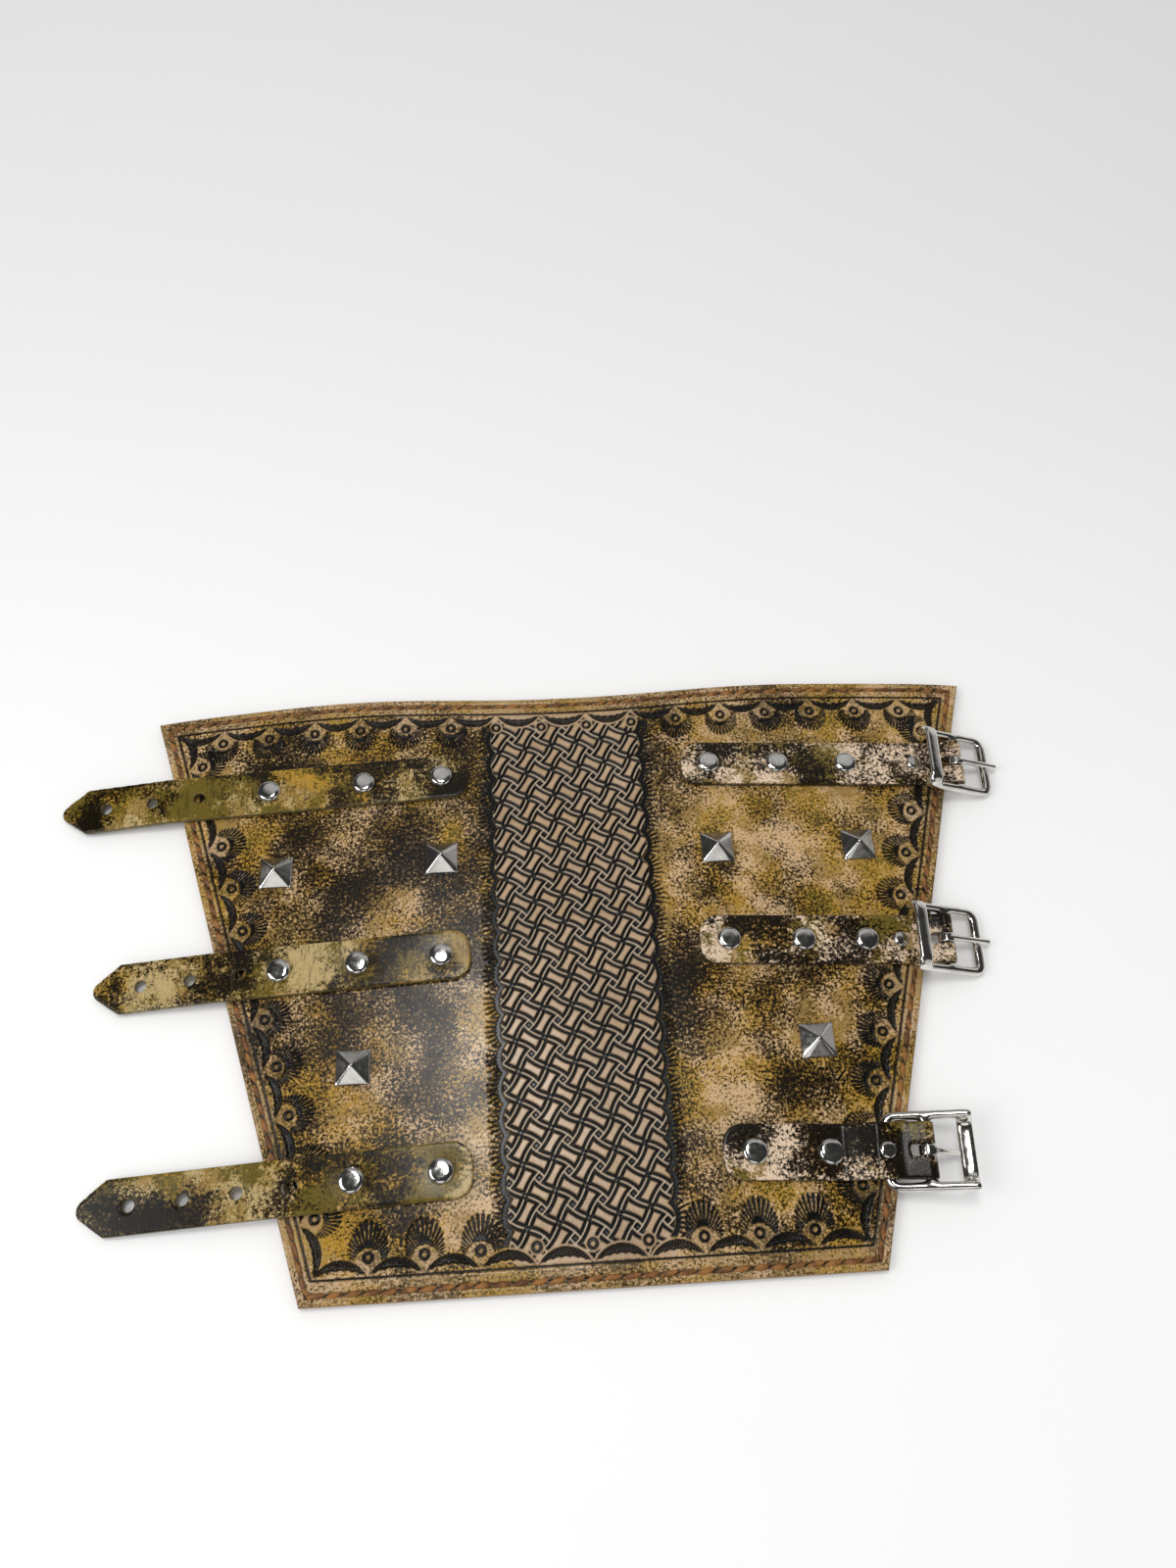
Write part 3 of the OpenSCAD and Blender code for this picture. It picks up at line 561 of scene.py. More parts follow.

# %% [markdown]
# ## Where the dye lies
# The dye was dabbed on in clouds: dark ones, golden ones and places left rosy. Noise alone gives clouds
# of the right size, but not in the right places. A short list of soft spots leads the noise, and the
# leather's material mixes both.

# %% Clouds of dye
# each spot: X, Y and radius in millimetres, and strength
PANEL_SPOTS = {
    "dark": [
        (-78, 15, 66, 0.42), (-97, 48, 15, 0.5), (-88, 31, 14, 0.55), (-64, 62, 13, 0.45),
        (-40, 38, 10, 0.55), (-37, 2, 12, 0.6), (-122, 83, 9, 0.5), (-60, -36, 18, 0.5),
        (-48, -50, 10, 0.45), (-86, -20, 10, 0.35), (-108, 6, 9, 0.35), (50, 26, 11, 0.5),
        (76, 56, 12, 0.5), (118, 55, 8, 0.5), (46, -12, 14, 0.6), (44, 62, 7, 0.35), (74, -52, 10, 0.45),
        (88, -56, 9, 0.4), (103, -20, 10, 0.4), (40, -92, 11, 0.45), (84, -94, 9, 0.35), (78, 92, 8, 0.3),
        (-52, 90, 9, 0.4), (-88, 97, 7, 0.3), (123, 78, 8, 0.3), (-62, -94, 8, 0.3),
    ],
    "gold": [
        (-128, 42, 14, 0.6), (-118, 4, 14, 0.6), (-98, -38, 14, 0.6), (-84, -92, 12, 0.5),
        (60, -30, 16, 0.35), (96, -66, 12, 0.5), (112, -38, 10, 0.5), (86, -82, 9, 0.5), (126, 60, 9, 0.6),
        (122, 20, 9, 0.5), (-76, 84, 12, 0.4), (-44, 20, 8, 0.4), (58, 22, 10, 0.35), (34, 40, 6, 0.3),
        (-72, -62, 13, 0.5),
    ],
    "rose": [
        (-84, 62, 12, 0.6), (-78, 12, 14, 0.55), (-50, 48, 8, 0.4), (62, 60, 13, 0.7), (92, 42, 12, 0.6),
        (56, -62, 18, 1.0), (58, -38, 14, 0.5), (-44, -84, 11, 0.6), (70, 4, 14, 0.5), (-104, 78, 8, 0.4),
        (95, 64, 16, 0.5),
    ],
}
STRAP_SPOTS = {
    "dark": [
        (-189, 70, 8, 0.6), (-160, 70, 9, 0.5), (-130, 87, 7, 0.35), (-59, 85, 9, 0.6), (-51, 73, 8, 0.5),
        (-111, 2, 7, 0.4), (-125, 0, 6, 0.3), (-51, -3, 8, 0.6), (-56, 10, 6, 0.3), (-167, -77, 10, 0.5),
        (-144, -82, 9, 0.4), (-88, -64, 7, 0.3), (-135, -76, 7, 0.3), (68, 83, 8, 0.5), (99, 74, 9, 0.6),
        (83, 0, 8, 0.6), (103, 10, 8, 0.5), (119, -2, 8, 0.5), (51, -76, 8, 0.4), (83, -78, 8, 0.6),
        (112, -78, 9, 0.5), (96, -69, 6, 0.4),
    ],
    "gold": [
        (-105, 87, 12, 0.9), (-81, 75, 8, 0.6), (-183, 78, 7, 0.5), (-70, 8, 10, 0.6), (-171, -2, 8, 0.4),
        (-94, -68, 10, 0.7), (-62, -68, 10, 0.7), (72, 5, 8, 1.0), (74, -76, 5, 0.6),
    ],
    "rose": [
        (-163, -5, 10, 0.9), (-98, 6, 10, 0.8), (-146, 1, 8, 0.5), (-121, -73, 11, 0.9), (128, 74, 14, 0.9),
        (114, 80, 8, 0.6), (54, 11, 7, 0.8), (127, 0, 7, 0.6), (67, -71, 8, 0.8), (92, -79, 6, 0.5),
    ],
}


# %% Fields of the panel
def spots(places, x, y):
    """A map of soft round spots, each given by X, Y, radius and strength."""
    total = np.zeros_like(x)
    for spot_x, spot_y, radius, strength in places:
        total += strength * np.exp(-((x - spot_x) ** 2 + (y - spot_y) ** 2) / radius ** 2)
    return np.clip(total, 0, 1)


panel_fields = {"ink": np.clip(ink, 0, 1), "bare": np.clip(bare, 0, 1), "edge": soft(over_edge, 0.5, 1)}
for key, places in PANEL_SPOTS.items():
    panel_fields[key] = spots(places, PX, PY)
panel_fields["strand"] = strand
print("fields of the panel:", sorted(panel_fields))

# %% [markdown]
# ## Materials
# Antiqued leather has three layers: the rosy tan of the hide, dabs of golden, olive and nearly black dye
# that break up into speckles at their rims, and a satin lacquer. Each dye is a mask of two noises added
# together: a wide one for the cloud and a fine one for its speckled rim. Nickel is a metal with faint
# rubs in its gloss. Sums and products take many Math nodes, so a small class lets them be written as
# plain arithmetic.

# %% Materials and nodes
def new_material(name):
    """An empty material, its tree and its main shader."""
    material = bpy.data.materials.new(name)
    material.use_nodes = True
    return material, material.node_tree, material.node_tree.nodes["Principled BSDF"]


def add_node(tree, kind, inputs=None, **settings):
    """A node with its settings, and numbers, sockets or Values for its inputs."""
    made = tree.nodes.new(kind)
    for key, value in settings.items():
        setattr(made, key, value)
    for key, value in (inputs or {}).items():
        value = getattr(value, "socket", value)
        if isinstance(value, bpy.types.NodeSocket):
            tree.links.new(value, made.inputs[key])
        else:
            made.inputs[key].default_value = value
    return made


def first_out(tree, kind, inputs=None, **settings):
    """The first output of a new node."""
    return add_node(tree, kind, inputs, **settings).outputs[0]


# %% Arithmetic in a node tree
def maths(operation, first, second=0.0):
    """A Math node in the tree that the first or the second Value belongs to."""
    tree = (first if isinstance(first, Value) else second).socket.id_data
    return Value(first_out(tree, "ShaderNodeMath", {0: first, 1: second}, operation=operation))


class Value:
    """A number in a node tree. A plain sum or product of such numbers adds the Math node for it."""

    def __init__(self, socket):
        self.socket = socket

    def __add__(self, other):
        return maths("ADD", self, other)

    def __sub__(self, other):
        return maths("SUBTRACT", self, other)

    def __rsub__(self, other):
        return maths("SUBTRACT", other, self)

    def __mul__(self, other):
        return maths("MULTIPLY", self, other)

    def __pow__(self, other):
        return maths("POWER", self, other)


# %% Noise, ramps and mixes
def noise(tree, place, size_mm, detail=3.0, rough=0.6, shift=0.0):
    """Noise with features of about a given size in millimetres."""
    offset = (shift, shift * 0.7, shift * 1.3)
    moved = first_out(tree, "ShaderNodeVectorMath", {0: place, 1: offset}, operation="ADD")
    inputs = {"Vector": moved, "Scale": 1 / (size_mm * MM), "Detail": detail, "Roughness": rough}
    return Value(first_out(tree, "ShaderNodeTexNoise", inputs))


def ramp(value, low, high, out_low=0.0, out_high=1.0):
    """A smooth step from one value to another."""
    inputs = {"Value": value, "From Min": low, "From Max": high, "To Min": out_low, "To Max": out_high}
    tree = value.socket.id_data
    return Value(first_out(tree, "ShaderNodeMapRange", inputs, interpolation_type="SMOOTHSTEP"))


def blend_colour(amount, first, second):
    """A mix of two colours, each of them a socket or three numbers."""
    first, second = (c if isinstance(c, bpy.types.NodeSocket) else (*c, 1) for c in (first, second))
    inputs = {0: amount, 6: first, 7: second}
    return add_node(amount.socket.id_data, "ShaderNodeMix", inputs, data_type="RGBA").outputs[2]


def field_value(tree, name):
    """A field stored on the piece's vertices."""
    return Value(add_node(tree, "ShaderNodeAttribute", attribute_name=name).outputs["Fac"])


def flat_place(tree):
    """The place of each point in the flat sheet."""
    return add_node(tree, "ShaderNodeAttribute", attribute_name="flat").outputs["Vector"]


def give_finish(tree, shader, colour, gloss, height, strength, distance_mm):
    """Links a colour, a roughness and a bump to the main shader."""
    inputs = {"Height": height, "Strength": strength, "Distance": distance_mm * MM}
    bump = first_out(tree, "ShaderNodeBump", inputs)
    for key, value in (("Base Color", colour), ("Roughness", gloss.socket), ("Normal", bump)):
        tree.links.new(value, shader.inputs[key])


# %% Tones of the dyes and how far they cover
HIDES = {"panel": (0.59, 0.40, 0.215), "tongue": (0.48, 0.355, 0.16), "chape": (0.74, 0.565, 0.405)}
RAW_EDGES = {"panel": (0.26, 0.155, 0.075), "tongue": (0.11, 0.085, 0.04), "chape": (0.016, 0.012, 0.008)}
DYES = {
    "ochre": (0.26, 0.16, 0.036),
    "gold": (0.43, 0.24, 0.026),
    "olive": (0.060, 0.058, 0.011),
    "umber": (0.030, 0.015, 0.003),
    "black": (0.0060, 0.0042, 0.0024),
}
INK = (0.0042, 0.0042, 0.0042)
BARE_DARK = (0.37, 0.26, 0.17)
BARE_PALE = (0.56, 0.40, 0.28)
# painted highlight: a paler, greyer tone laid on the crests of the raised weave lines
STRAND_HIGHLIGHT = (0.58, 0.50, 0.39)
STRAND_HIGHLIGHT_SHARE = 0.55
# how sharply the clouds end, how far flecks break them up, how strongly spots lead the dye or spare the hide
GAIN = {"panel": 1.4, "tongue": 2.0, "chape": 2.1}
FLECKS = {"panel": 1.15, "tongue": 0.7, "chape": 0.95}
LEAD = {"panel": 0.30, "tongue": 0.45, "chape": 0.38}
SPARED = {"panel": 0.14, "tongue": 0.17, "chape": 0.22}
COVER = {
    "panel": {"ochre": 0.43, "gold": 0.53, "olive": 0.62, "umber": 0.565, "black": 0.675},
    "tongue": {"ochre": 0.42, "gold": 0.52, "olive": 0.46, "umber": 0.53, "black": 0.60},
    "chape": {"ochre": 0.56, "gold": 0.60, "olive": 0.56, "umber": 0.54, "black": 0.50},
}


# %% Dyed leather
def shade(colour, factor):
    """A lighter or darker tone of a colour."""
    return tuple(channel * factor for channel in colour)


def dyed_leather(name, kind, shift, streaks=0.0):
    """Leather with glazes of dye. A lower number in COVER lets a dye cover more of the hide."""
    material, tree, shader = new_material(name)
    flat = flat_place(tree)
    wide = noise(tree, flat, 26, 4, 0.6, shift)
    other = noise(tree, flat, 15, 4, 0.62, shift + 0.31)
    third = noise(tree, flat, 21, 4, 0.6, shift + 0.77)
    speckle = noise(tree, flat, 1.3, 4, 0.72, shift)
    second_speckle = noise(tree, flat, 1.0, 3, 0.7, shift + 0.5)
    grain = noise(tree, flat, 0.5, 2, 0.6, shift)
    bare_share = field_value(tree, "bare")
    spared = field_value(tree, "rose") * SPARED[kind]
    hide = HIDES[kind]
    colour = blend_colour(ramp(grain, 0.3, 0.7), shade(hide, 0.82), shade(hide, 1.1))
    bare_tone = blend_colour(ramp(second_speckle, 0.35, 0.65), BARE_DARK, BARE_PALE)
    colour = blend_colour(bare_share * 0.9, colour, bare_tone)
    for dye, cloud, fleck, fleck_share, rim, opacity, lead, kept_when_bare in (
        ("ochre", other, second_speckle, 1.1, 0.07, 0.85, None, 0.15),
        ("gold", third, speckle, 0.9, 0.08, 0.85, "gold", 0.15),
        ("olive", third, second_speckle, 1.4, 0.08, 0.8, None, 0.15),
        ("umber", wide, second_speckle, 1.8, 0.055, 0.85, "dark", 0.2),
        ("black", wide, speckle, 2.4, 0.035, 0.97, "dark", 0.1),
    ):
        level = (cloud - 0.5) * GAIN[kind] + 0.5 + (fleck - 0.5) * (fleck_share * FLECKS[kind])
        if lead:
            level = level + field_value(tree, lead) * LEAD[kind]
        edge = COVER[kind][dye]
        mask = ramp(level - spared, edge - rim, edge + rim, 0, opacity)
        colour = blend_colour(mask * ramp(bare_share, 0, 1, 1, kept_when_bare), colour, DYES[dye])
    if streaks:
        turned = {"Vector": flat, "Rotation": (0, 0, math.radians(-80)), "Scale": (1, 0.12, 1)}
        stretched = noise(tree, first_out(tree, "ShaderNodeMapping", turned), 0.9, 3, 0.7)
        colour = blend_colour(ramp(stretched, 0.5, 0.66, 0, streaks), colour, shade(DYES["olive"], 0.35))
    edge_share = field_value(tree, "edge") * ramp(speckle, 0.3, 0.6, 0.5, 0.95)
    colour = blend_colour(edge_share, colour, RAW_EDGES[kind])
    colour = blend_colour(field_value(tree, "ink"), colour, INK)
    # painted highlight on the crests of the weave lines
    colour = blend_colour(field_value(tree, "strand") * STRAND_HIGHLIGHT_SHARE, colour, STRAND_HIGHLIGHT)
    gloss = ramp(wide, 0.3, 0.7, 0.11, 0.19) + speckle * 0.06
    shader.inputs["Specular IOR Level"].default_value = 0.22
    give_finish(tree, shader, colour, gloss, grain * 0.5 + speckle * 0.5, 0.24, 0.25)
    return material


panel_leather = dyed_leather("tooled_leather_dyed", "panel", 0.0)
tongue_leather = dyed_leather("tongue_leather_olive", "tongue", 1.7, 0.45)
chape_leather = dyed_leather("chape_leather_speckled", "chape", 3.1)
print("leathers:", panel_leather.name, tongue_leather.name, chape_leather.name)


# %% Lining, thread and nickel
PEBBLE = 1.4


def lining_leather():
    """Black goat leather, matt, with a fine pebble."""
    material, tree, shader = new_material("lining_black")
    flat = flat_place(tree)
    pebble = first_out(tree, "ShaderNodeTexVoronoi", {"Vector": flat, "Scale": 1 / (PEBBLE * MM)})
    cloud = noise(tree, flat, 20)
    colour = blend_colour(ramp(cloud, 0.3, 0.7), (0.012, 0.011, 0.010), (0.030, 0.027, 0.024))
    give_finish(tree, shader, colour, ramp(cloud, 0.3, 0.7, 0.5, 0.66), pebble, 0.5, 0.2)
    return material


def waxed_thread():
    """Red-brown waxed thread, with the twist of its strands."""
    material, tree, shader = new_material("waxed_thread")
    flat = flat_place(tree)
    tone = noise(tree, flat, 5)
    colour = blend_colour(ramp(tone, 0.35, 0.65), (0.105, 0.034, 0.005), (0.31, 0.125, 0.020))
    give_finish(tree, shader, colour, ramp(tone, 0.3, 0.7, 0.4, 0.55), noise(tree, flat, 0.35, 1), 0.5, 0.15)
    return material


def nickel(name, colour, low_gloss, high_gloss):
    """Nickel plate with faint rubs, dents and a little tarnish."""
    material, tree, shader = new_material(name)
    place = add_node(tree, "ShaderNodeTexCoord").outputs["Object"]
    rubs = noise(tree, place, 2.2, 4, 0.7)
    cloud = noise(tree, place, 6, 3, 0.6, 0.4)
    tint = blend_colour(ramp(cloud, 0.35, 0.75), colour, shade(colour, 0.72))
    shader.inputs["Metallic"].default_value = 1.0
    gloss = ramp(rubs, 0.35, 0.7, low_gloss, high_gloss)
    give_finish(tree, shader, tint, gloss, noise(tree, place, 3.5, 2), 0.12, 0.3)
    return material


lining_black = lining_leather()
thread = waxed_thread()
rivet_nickel = nickel("rivet_nickel_polished", (0.80, 0.78, 0.75), 0.07, 0.16)
stud_nickel = nickel("stud_nickel_worn", (0.72, 0.70, 0.66), 0.13, 0.24)
buckle_nickel = nickel("buckle_nickel_polished", (0.80, 0.77, 0.72), 0.08, 0.18)
print("metals and thread made")

# %% The tooled panel, in eight pieces
panel_normals = sheet_normals(PX, BOWED_Y, PZ)
UNDERSIDE_STEP = (12, 8)
for n, (side, line) in enumerate(PATCHES):
    cut = np.s_[:, SEAMS[n]:SEAMS[n + 1] + 1]
    fields = {key: grid[cut] for key, grid in panel_fields.items()}
    name = f"panel_{SIDE_NAMES[side]}_bend_{line}"
    grids = PX[cut], BOWED_Y[cut], PZ[cut]
    piece = closed_sheet(name, *grids, LINING_Z, UNDERSIDE_STEP, panel_normals[cut], panel_leather, fields)
    with_centre = ["outer_centre"] if (side, line) == (-1, 1) else []
    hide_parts(f"outer_{BODY_NAMES[side][line]}", *with_centre)
    bend_piece(piece)
    print(name, len(piece.data.vertices), "vertices")

# %% [markdown]
# ## The lining
# The lining is thin black leather, trimmed a little short of the panel. It is cut at the same seams as the
# panel. Its relief is only a fine pebble, so a coarser grid is enough. Its underside lies a hair above the
# floor, because the flat backs of the rivets stand proud of it.

# %% Lining, in eight pieces
LINING_TRIM = 0.5
LINING_LOW = 0.12
LINING_STEP = 6
GLUE_GAP = 0.02
for n, (side, line) in enumerate(PATCHES):
    pick_c = SEAMS[n] + coarse(SEAMS[n + 1] - SEAMS[n] + 1, LINING_STEP)
    spot = np.ix_(coarse(len(PX), LINING_STEP), pick_c)
    lining_y = PY[spot] * (HALF_H - LINING_TRIM) / HALF_H
    lining_x = PX[spot] * (side_x(lining_y) - LINING_TRIM / SIDE_COS) / side_x(PY[spot])
    lining_y = lining_y + bow(PX[spot], PY[spot])
    flat_z = np.full_like(lining_x, LINING_Z - GLUE_GAP)
    up = np.zeros((*lining_x.shape, 3)) + (0, 0, 1.0)
    name = f"lining_{SIDE_NAMES[side]}_bend_{line}"
    piece = closed_sheet(name, lining_x, lining_y, flat_z, LINING_LOW, (1, 1), up, lining_black)
    with_centre = ["lining_centre"] if (side, line) == (-1, 1) else []
    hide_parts(f"lining_{BODY_NAMES[side][line]}", *with_centre)
    bend_piece(piece)
print("lining pieces:", len(PATCHES))

# %% [markdown]
# ## Straps
# Each strap is cut from firm leather 2.6 mm thick, with its edges rubbed round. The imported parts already
# have the outline, the holes and the fold round the buckle's bar, but as separate lengths with square
# edges. Here the lengths are welded and remeshed into one skin, and a few smoothing steps round every
# edge as rubbing does. The leather is drawn in a little under each rivet. The skin is then cut between
# the bend lines.

# %% One skin from several parts
ROWS = ("elbow", "middle", "wrist")
STRAP_TURN = {"tongue": -2.5, "chape": 3.5}
SAME_POINT = 1e-6


def welded(nodes):
    """A bmesh of several CAD parts with their doubles merged."""
    skin = bmesh.new()
    for node in nodes:
        skin.from_mesh(bpy.data.objects[node].data)
    bmesh.ops.remove_doubles(skin, verts=skin.verts, dist=SAME_POINT)
    return skin


def plain_mesh(holder):
    """What an object's modifiers make of it, as a plain mesh. The object itself goes."""
    evaluated = holder.evaluated_get(bpy.context.evaluated_depsgraph_get())
    mesh = bpy.data.meshes.new_from_object(evaluated)
    bpy.data.objects.remove(holder)
    return mesh


def remeshed(nodes, voxel, smooth_steps, turn=0.0, swell=0.0):
    """One smooth skin round several CAD parts. The voxels lie along a direction turned by some degrees."""
    skin = welded(nodes)
    mesh = bpy.data.meshes.new("skin")
    skin.to_mesh(mesh)
    skin.free()
    mesh.transform(Matrix.Rotation(math.radians(turn), 4, "Z"))
    holder = new_piece("skin", mesh)
    remesh = holder.modifiers.new("remesh", "REMESH")
    remesh.mode = "VOXEL"
    remesh.voxel_size = voxel * MM
    remesh.use_smooth_shade = True
    rub = holder.modifiers.new("rub", "SMOOTH")
    rub.factor = 0.5
    rub.iterations = smooth_steps
    plump = holder.modifiers.new("plump", "DISPLACE")
    plump.mid_level = 0
    plump.strength = swell * MM
    result = plain_mesh(holder)
    result.transform(Matrix.Rotation(math.radians(-turn), 4, "Z"))
    return result


# %% Places of the rivets
def centres(node):
    """Centre, radius, lowest and highest Z of each separate solid of a part, in millimetres."""
    skin = welded([node])
    left = set(skin.verts)
    found = []
    while left:
        walk = [left.pop()]
        island = list(walk)
        while walk:
            here = walk.pop()
            fresh = {edge.other_vert(here) for edge in here.link_edges} & left
            left.difference_update(fresh)
            walk.extend(fresh)
            island.extend(fresh)
        points = np.array([vert.co for vert in island]) / MM
        low, high = points.min(axis=0), points.max(axis=0)
        middle_x, middle_y, _ = (low + high) / 2
        found.append((middle_x, middle_y, (high[0] - low[0]) / 2, low[2], high[2]))
    skin.free()
    return sorted(found)


RIVETED = ("left_2", "left_3", "left_4", "right_2", "right_3", "right_4")
RIVETS = {body: centres(f"rivets_{body}") for body in RIVETED}
for body, found in RIVETS.items():
    print(body, [[round(float(v), 2) for v in spot] for spot in found])

# %% [markdown]
# ## Cutting the straps where they bend
# A strap that crosses several joints is cut midway between them, as the panel is, into one length over each
# strip. The cut faces meet exactly, so no gap shows. The raw edges of a strap are dyed darker than its
# face, so a field marks the points whose surface looks sideways.

# %% Seams and cuts
def mid_line(side, n, y):
    """X midway between bend lines n and n + 1 of one side."""
    return side * (abs(bend_x(side, n, y)) + abs(bend_x(side, n + 1, y))) / 2


def seam_plane(side, n):
    """A point on the seam between lines n and n + 1, and its outward direction."""
    ends = [Vector((mid_line(side, n, y), y, 0)) for y in (-HALF_H, HALF_H)]
    run = ends[1] - ends[0]
    return ends[0] * MM, Vector((run.y, -run.x, 0)).normalized() * side


def cut_length(mesh, inner, outer):
    """The part of a skin outside one plane and inside another, with its cut faces closed."""
    skin = bmesh.new()
    skin.from_mesh(mesh)
    for plane, sign in ((inner, -1), (outer, 1)):
        if plane is None:
            continue
        everything = skin.verts[:] + skin.edges[:] + skin.faces[:]
        done = bmesh.ops.bisect_plane(
            skin, geom=everything, dist=1e-8, plane_co=plane[0], plane_no=plane[1] * sign, clear_outer=True)
        rim = [part for part in done["geom_cut"] if isinstance(part, bmesh.types.BMEdge)]
        cap = bmesh.ops.contextual_create(skin, geom=rim)["faces"]
        for face in cap:
            face.smooth = False
            if face.normal.dot(plane[1] * sign) < 0:
                face.normal_flip()
        for edge in rim:
            edge.smooth = False
    result = bpy.data.meshes.new("length")
    skin.to_mesh(result)
    skin.free()
    return result


# %% Skin and fields of a strap
RIVET_DRAW = 0.28
RIVET_RIM = 1.6
HEAD_REACH = 3.0
STRAP_VOXEL = 0.5
RUB_STEPS = 6


def strap_skin(kind, row, side):
    """The whole skin of one strap, drawn in under its rivets."""
    nodes = [node for node in frame["nodes"] if node.startswith(f"{kind}_{row}_")]
    mesh = remeshed(nodes, STRAP_VOXEL, RUB_STEPS, STRAP_TURN[kind])
    points = read_vectors(mesh)
    for body, found in RIVETS.items():
        if body.startswith(SIDE_NAMES[side]):
            for rivet_x, rivet_y, radius, _, high in found:
                away = np.hypot(points[:, 0] / MM - rivet_x, points[:, 1] / MM - rivet_y)
                on_top = points[:, 2] / MM > high - HEAD_REACH
                points[:, 2] -= RIVET_DRAW * MM * np.exp(-(away / (radius + RIVET_RIM)) ** 2) * on_top
    mesh.vertices.foreach_set("co", points.ravel())
    mesh.update()
    return mesh


def dress_strap(name, mesh, material, fold_from=math.inf):
    """A strap length as a piece, with the fields that its leather reads. In a fold only its sides are raw."""
    piece = new_piece(name, mesh, material)
    normals = read_vectors(mesh, "normal")
    points = read_vectors(mesh) / MM
    turn = math.radians(STRAP_TURN["chape"])
    sideways = abs(normals @ np.array([math.sin(turn), math.cos(turn), 0]))
    outward = np.hypot(normals[:, 0], normals[:, 1])
    set_field(mesh, "edge", soft(np.where(points[:, 0] > fold_from, sideways, outward), 0.55, 0.95))
    for key, places in STRAP_SPOTS.items():
        set_field(mesh, key, spots(places, points[:, 0], points[:, 1]))
    keep_flat(piece)
    return piece


# %% Strap pieces
FOLD_LENGTH = 14
FLEX_HALF = 2.2
END_LEAD = 9
for row in ROWS:
    whole = strap_skin("tongue", row, -1)
    flex_point, flex_axis = axis_line(f"tongue_{row}_flex")
    along = Vector((-flex_axis[1], flex_axis[0], 0)).normalized()
    along = along if along.x < 0 else -along
    hinge = Vector((*flex_point[:2], 0)) * MM
    reach = along * FLEX_HALF * MM
    planes = [None, seam_plane(-1, 2), seam_plane(-1, 3), (hinge - along * END_LEAD * MM, along), None]
    for n, part in enumerate(("inner", "mid", "outer", "end")):
        length = cut_length(whole, planes[n], planes[n + 1])
        piece = dress_strap(f"tongue_{row}_{part}_leather", length, tongue_leather)
        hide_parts(f"tongue_{row}_{part}")
        if part == "end":
            hinge - reach
            hinge + reach
            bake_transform(piece)
        else:
            bend_piece(piece)
        print(piece.name, len(piece.data.polygons), "faces")
    whole = strap_skin("chape", row, 1)
    fold_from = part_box(f"chape_{row}_outer")[1][0] / MM - FOLD_LENGTH
    planes = [None, seam_plane(1, 2), seam_plane(1, 3), None]
    for n, part in enumerate(("inner", "mid", "outer")):
        length = cut_length(whole, planes[n], planes[n + 1])
        piece = dress_strap(f"chape_{row}_{part}_leather", length, chape_leather, fold_from)
        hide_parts(f"chape_{row}_{part}")
        bend_piece(piece)
        print(piece.name, len(piece.data.polygons), "faces")

# %% [markdown]
# ## Rivets
# A rivet is a domed cap over a post, peened to a flat cap on the back. All caps have one shape in several
# sizes, which is work for Geometry Nodes: a dome is made once and set on points. The tree's inputs are
# the sizes, and the result is turned into a plain mesh, one for each body that carries rivets.

# %% Helpers for node trees
def new_tree(name, *sizes, count=None):
    """An empty tree with named inputs: a geometry, sizes, perhaps a count, and the finish."""
    tree = bpy.data.node_groups.new(name, "GeometryNodeTree")
    tree.interface.new_socket("Geometry", in_out="INPUT", socket_type="NodeSocketGeometry")
    tree.interface.new_socket("Geometry", in_out="OUTPUT", socket_type="NodeSocketGeometry")
    for size in sizes:
        tree.interface.new_socket(size, in_out="INPUT", socket_type="NodeSocketFloat")
    if count:
        tree.interface.new_socket(count, in_out="INPUT", socket_type="NodeSocketInt")
    tree.interface.new_socket("Finish", in_out="INPUT", socket_type="NodeSocketMaterial")
    return tree, tree.nodes.new("NodeGroupInput").outputs


def xyz(tree, x, y, z):
    """A vector of three values."""
    return first_out(tree, "ShaderNodeCombineXYZ", {0: x, 1: y, 2: z})


def split_xyz(tree, vector):
    """The three values of a vector."""
    return [Value(socket) for socket in add_node(tree, "ShaderNodeSeparateXYZ", {0: vector}).outputs]


def moved_to(tree, shape, position):
    """A shape whose points are set to new places."""
    return first_out(tree, "GeometryNodeSetPosition", {"Geometry": shape, "Position": position})


def set_on_points(tree, tree_in, shape, turn=(0, 0, 0)):
    """Sets a smooth copy of a shape on every point, makes the copies real and gives them the finish."""
    smooth = first_out(tree, "GeometryNodeSetShadeSmooth", {0: shape})
    inputs = {"Points": tree_in["Geometry"], "Instance": smooth, "Rotation": turn}
    placed = first_out(tree, "GeometryNodeInstanceOnPoints", inputs)
    real = first_out(tree, "GeometryNodeRealizeInstances", {0: placed})
    done = first_out(tree, "GeometryNodeSetMaterial", {"Geometry": real, "Material": tree_in["Finish"]})
    add_node(tree, "NodeGroupOutput", {0: done})


def grow(tree, points, values, fields=None):
    """Runs a tree on bare points in millimetres and returns the plain mesh."""
    mesh = bpy.data.meshes.new("points")
    mesh.from_pydata((np.array(points) * MM).tolist(), [], [])
    for key, vectors in (fields or {}).items():
        set_field(mesh, key, vectors)
    holder = bpy.data.objects.new("points", mesh)
    modifier = holder.modifiers.new("nodes", "NODES")
    modifier.node_group = tree
    for item in tree.interface.items_tree:
        if item.in_out == "INPUT" and item.name in values:
            modifier[item.identifier] = values[item.name]
    scene.collection.objects.link(holder)
    return plain_mesh(holder)


def joined(name, meshes, material):
    """One piece of several meshes."""
    skin = bmesh.new()
    for mesh in meshes:
        skin.from_mesh(mesh)
    mesh = bpy.data.meshes.new(name)
    skin.to_mesh(mesh)
    skin.free()
    return new_piece(name, mesh, material)


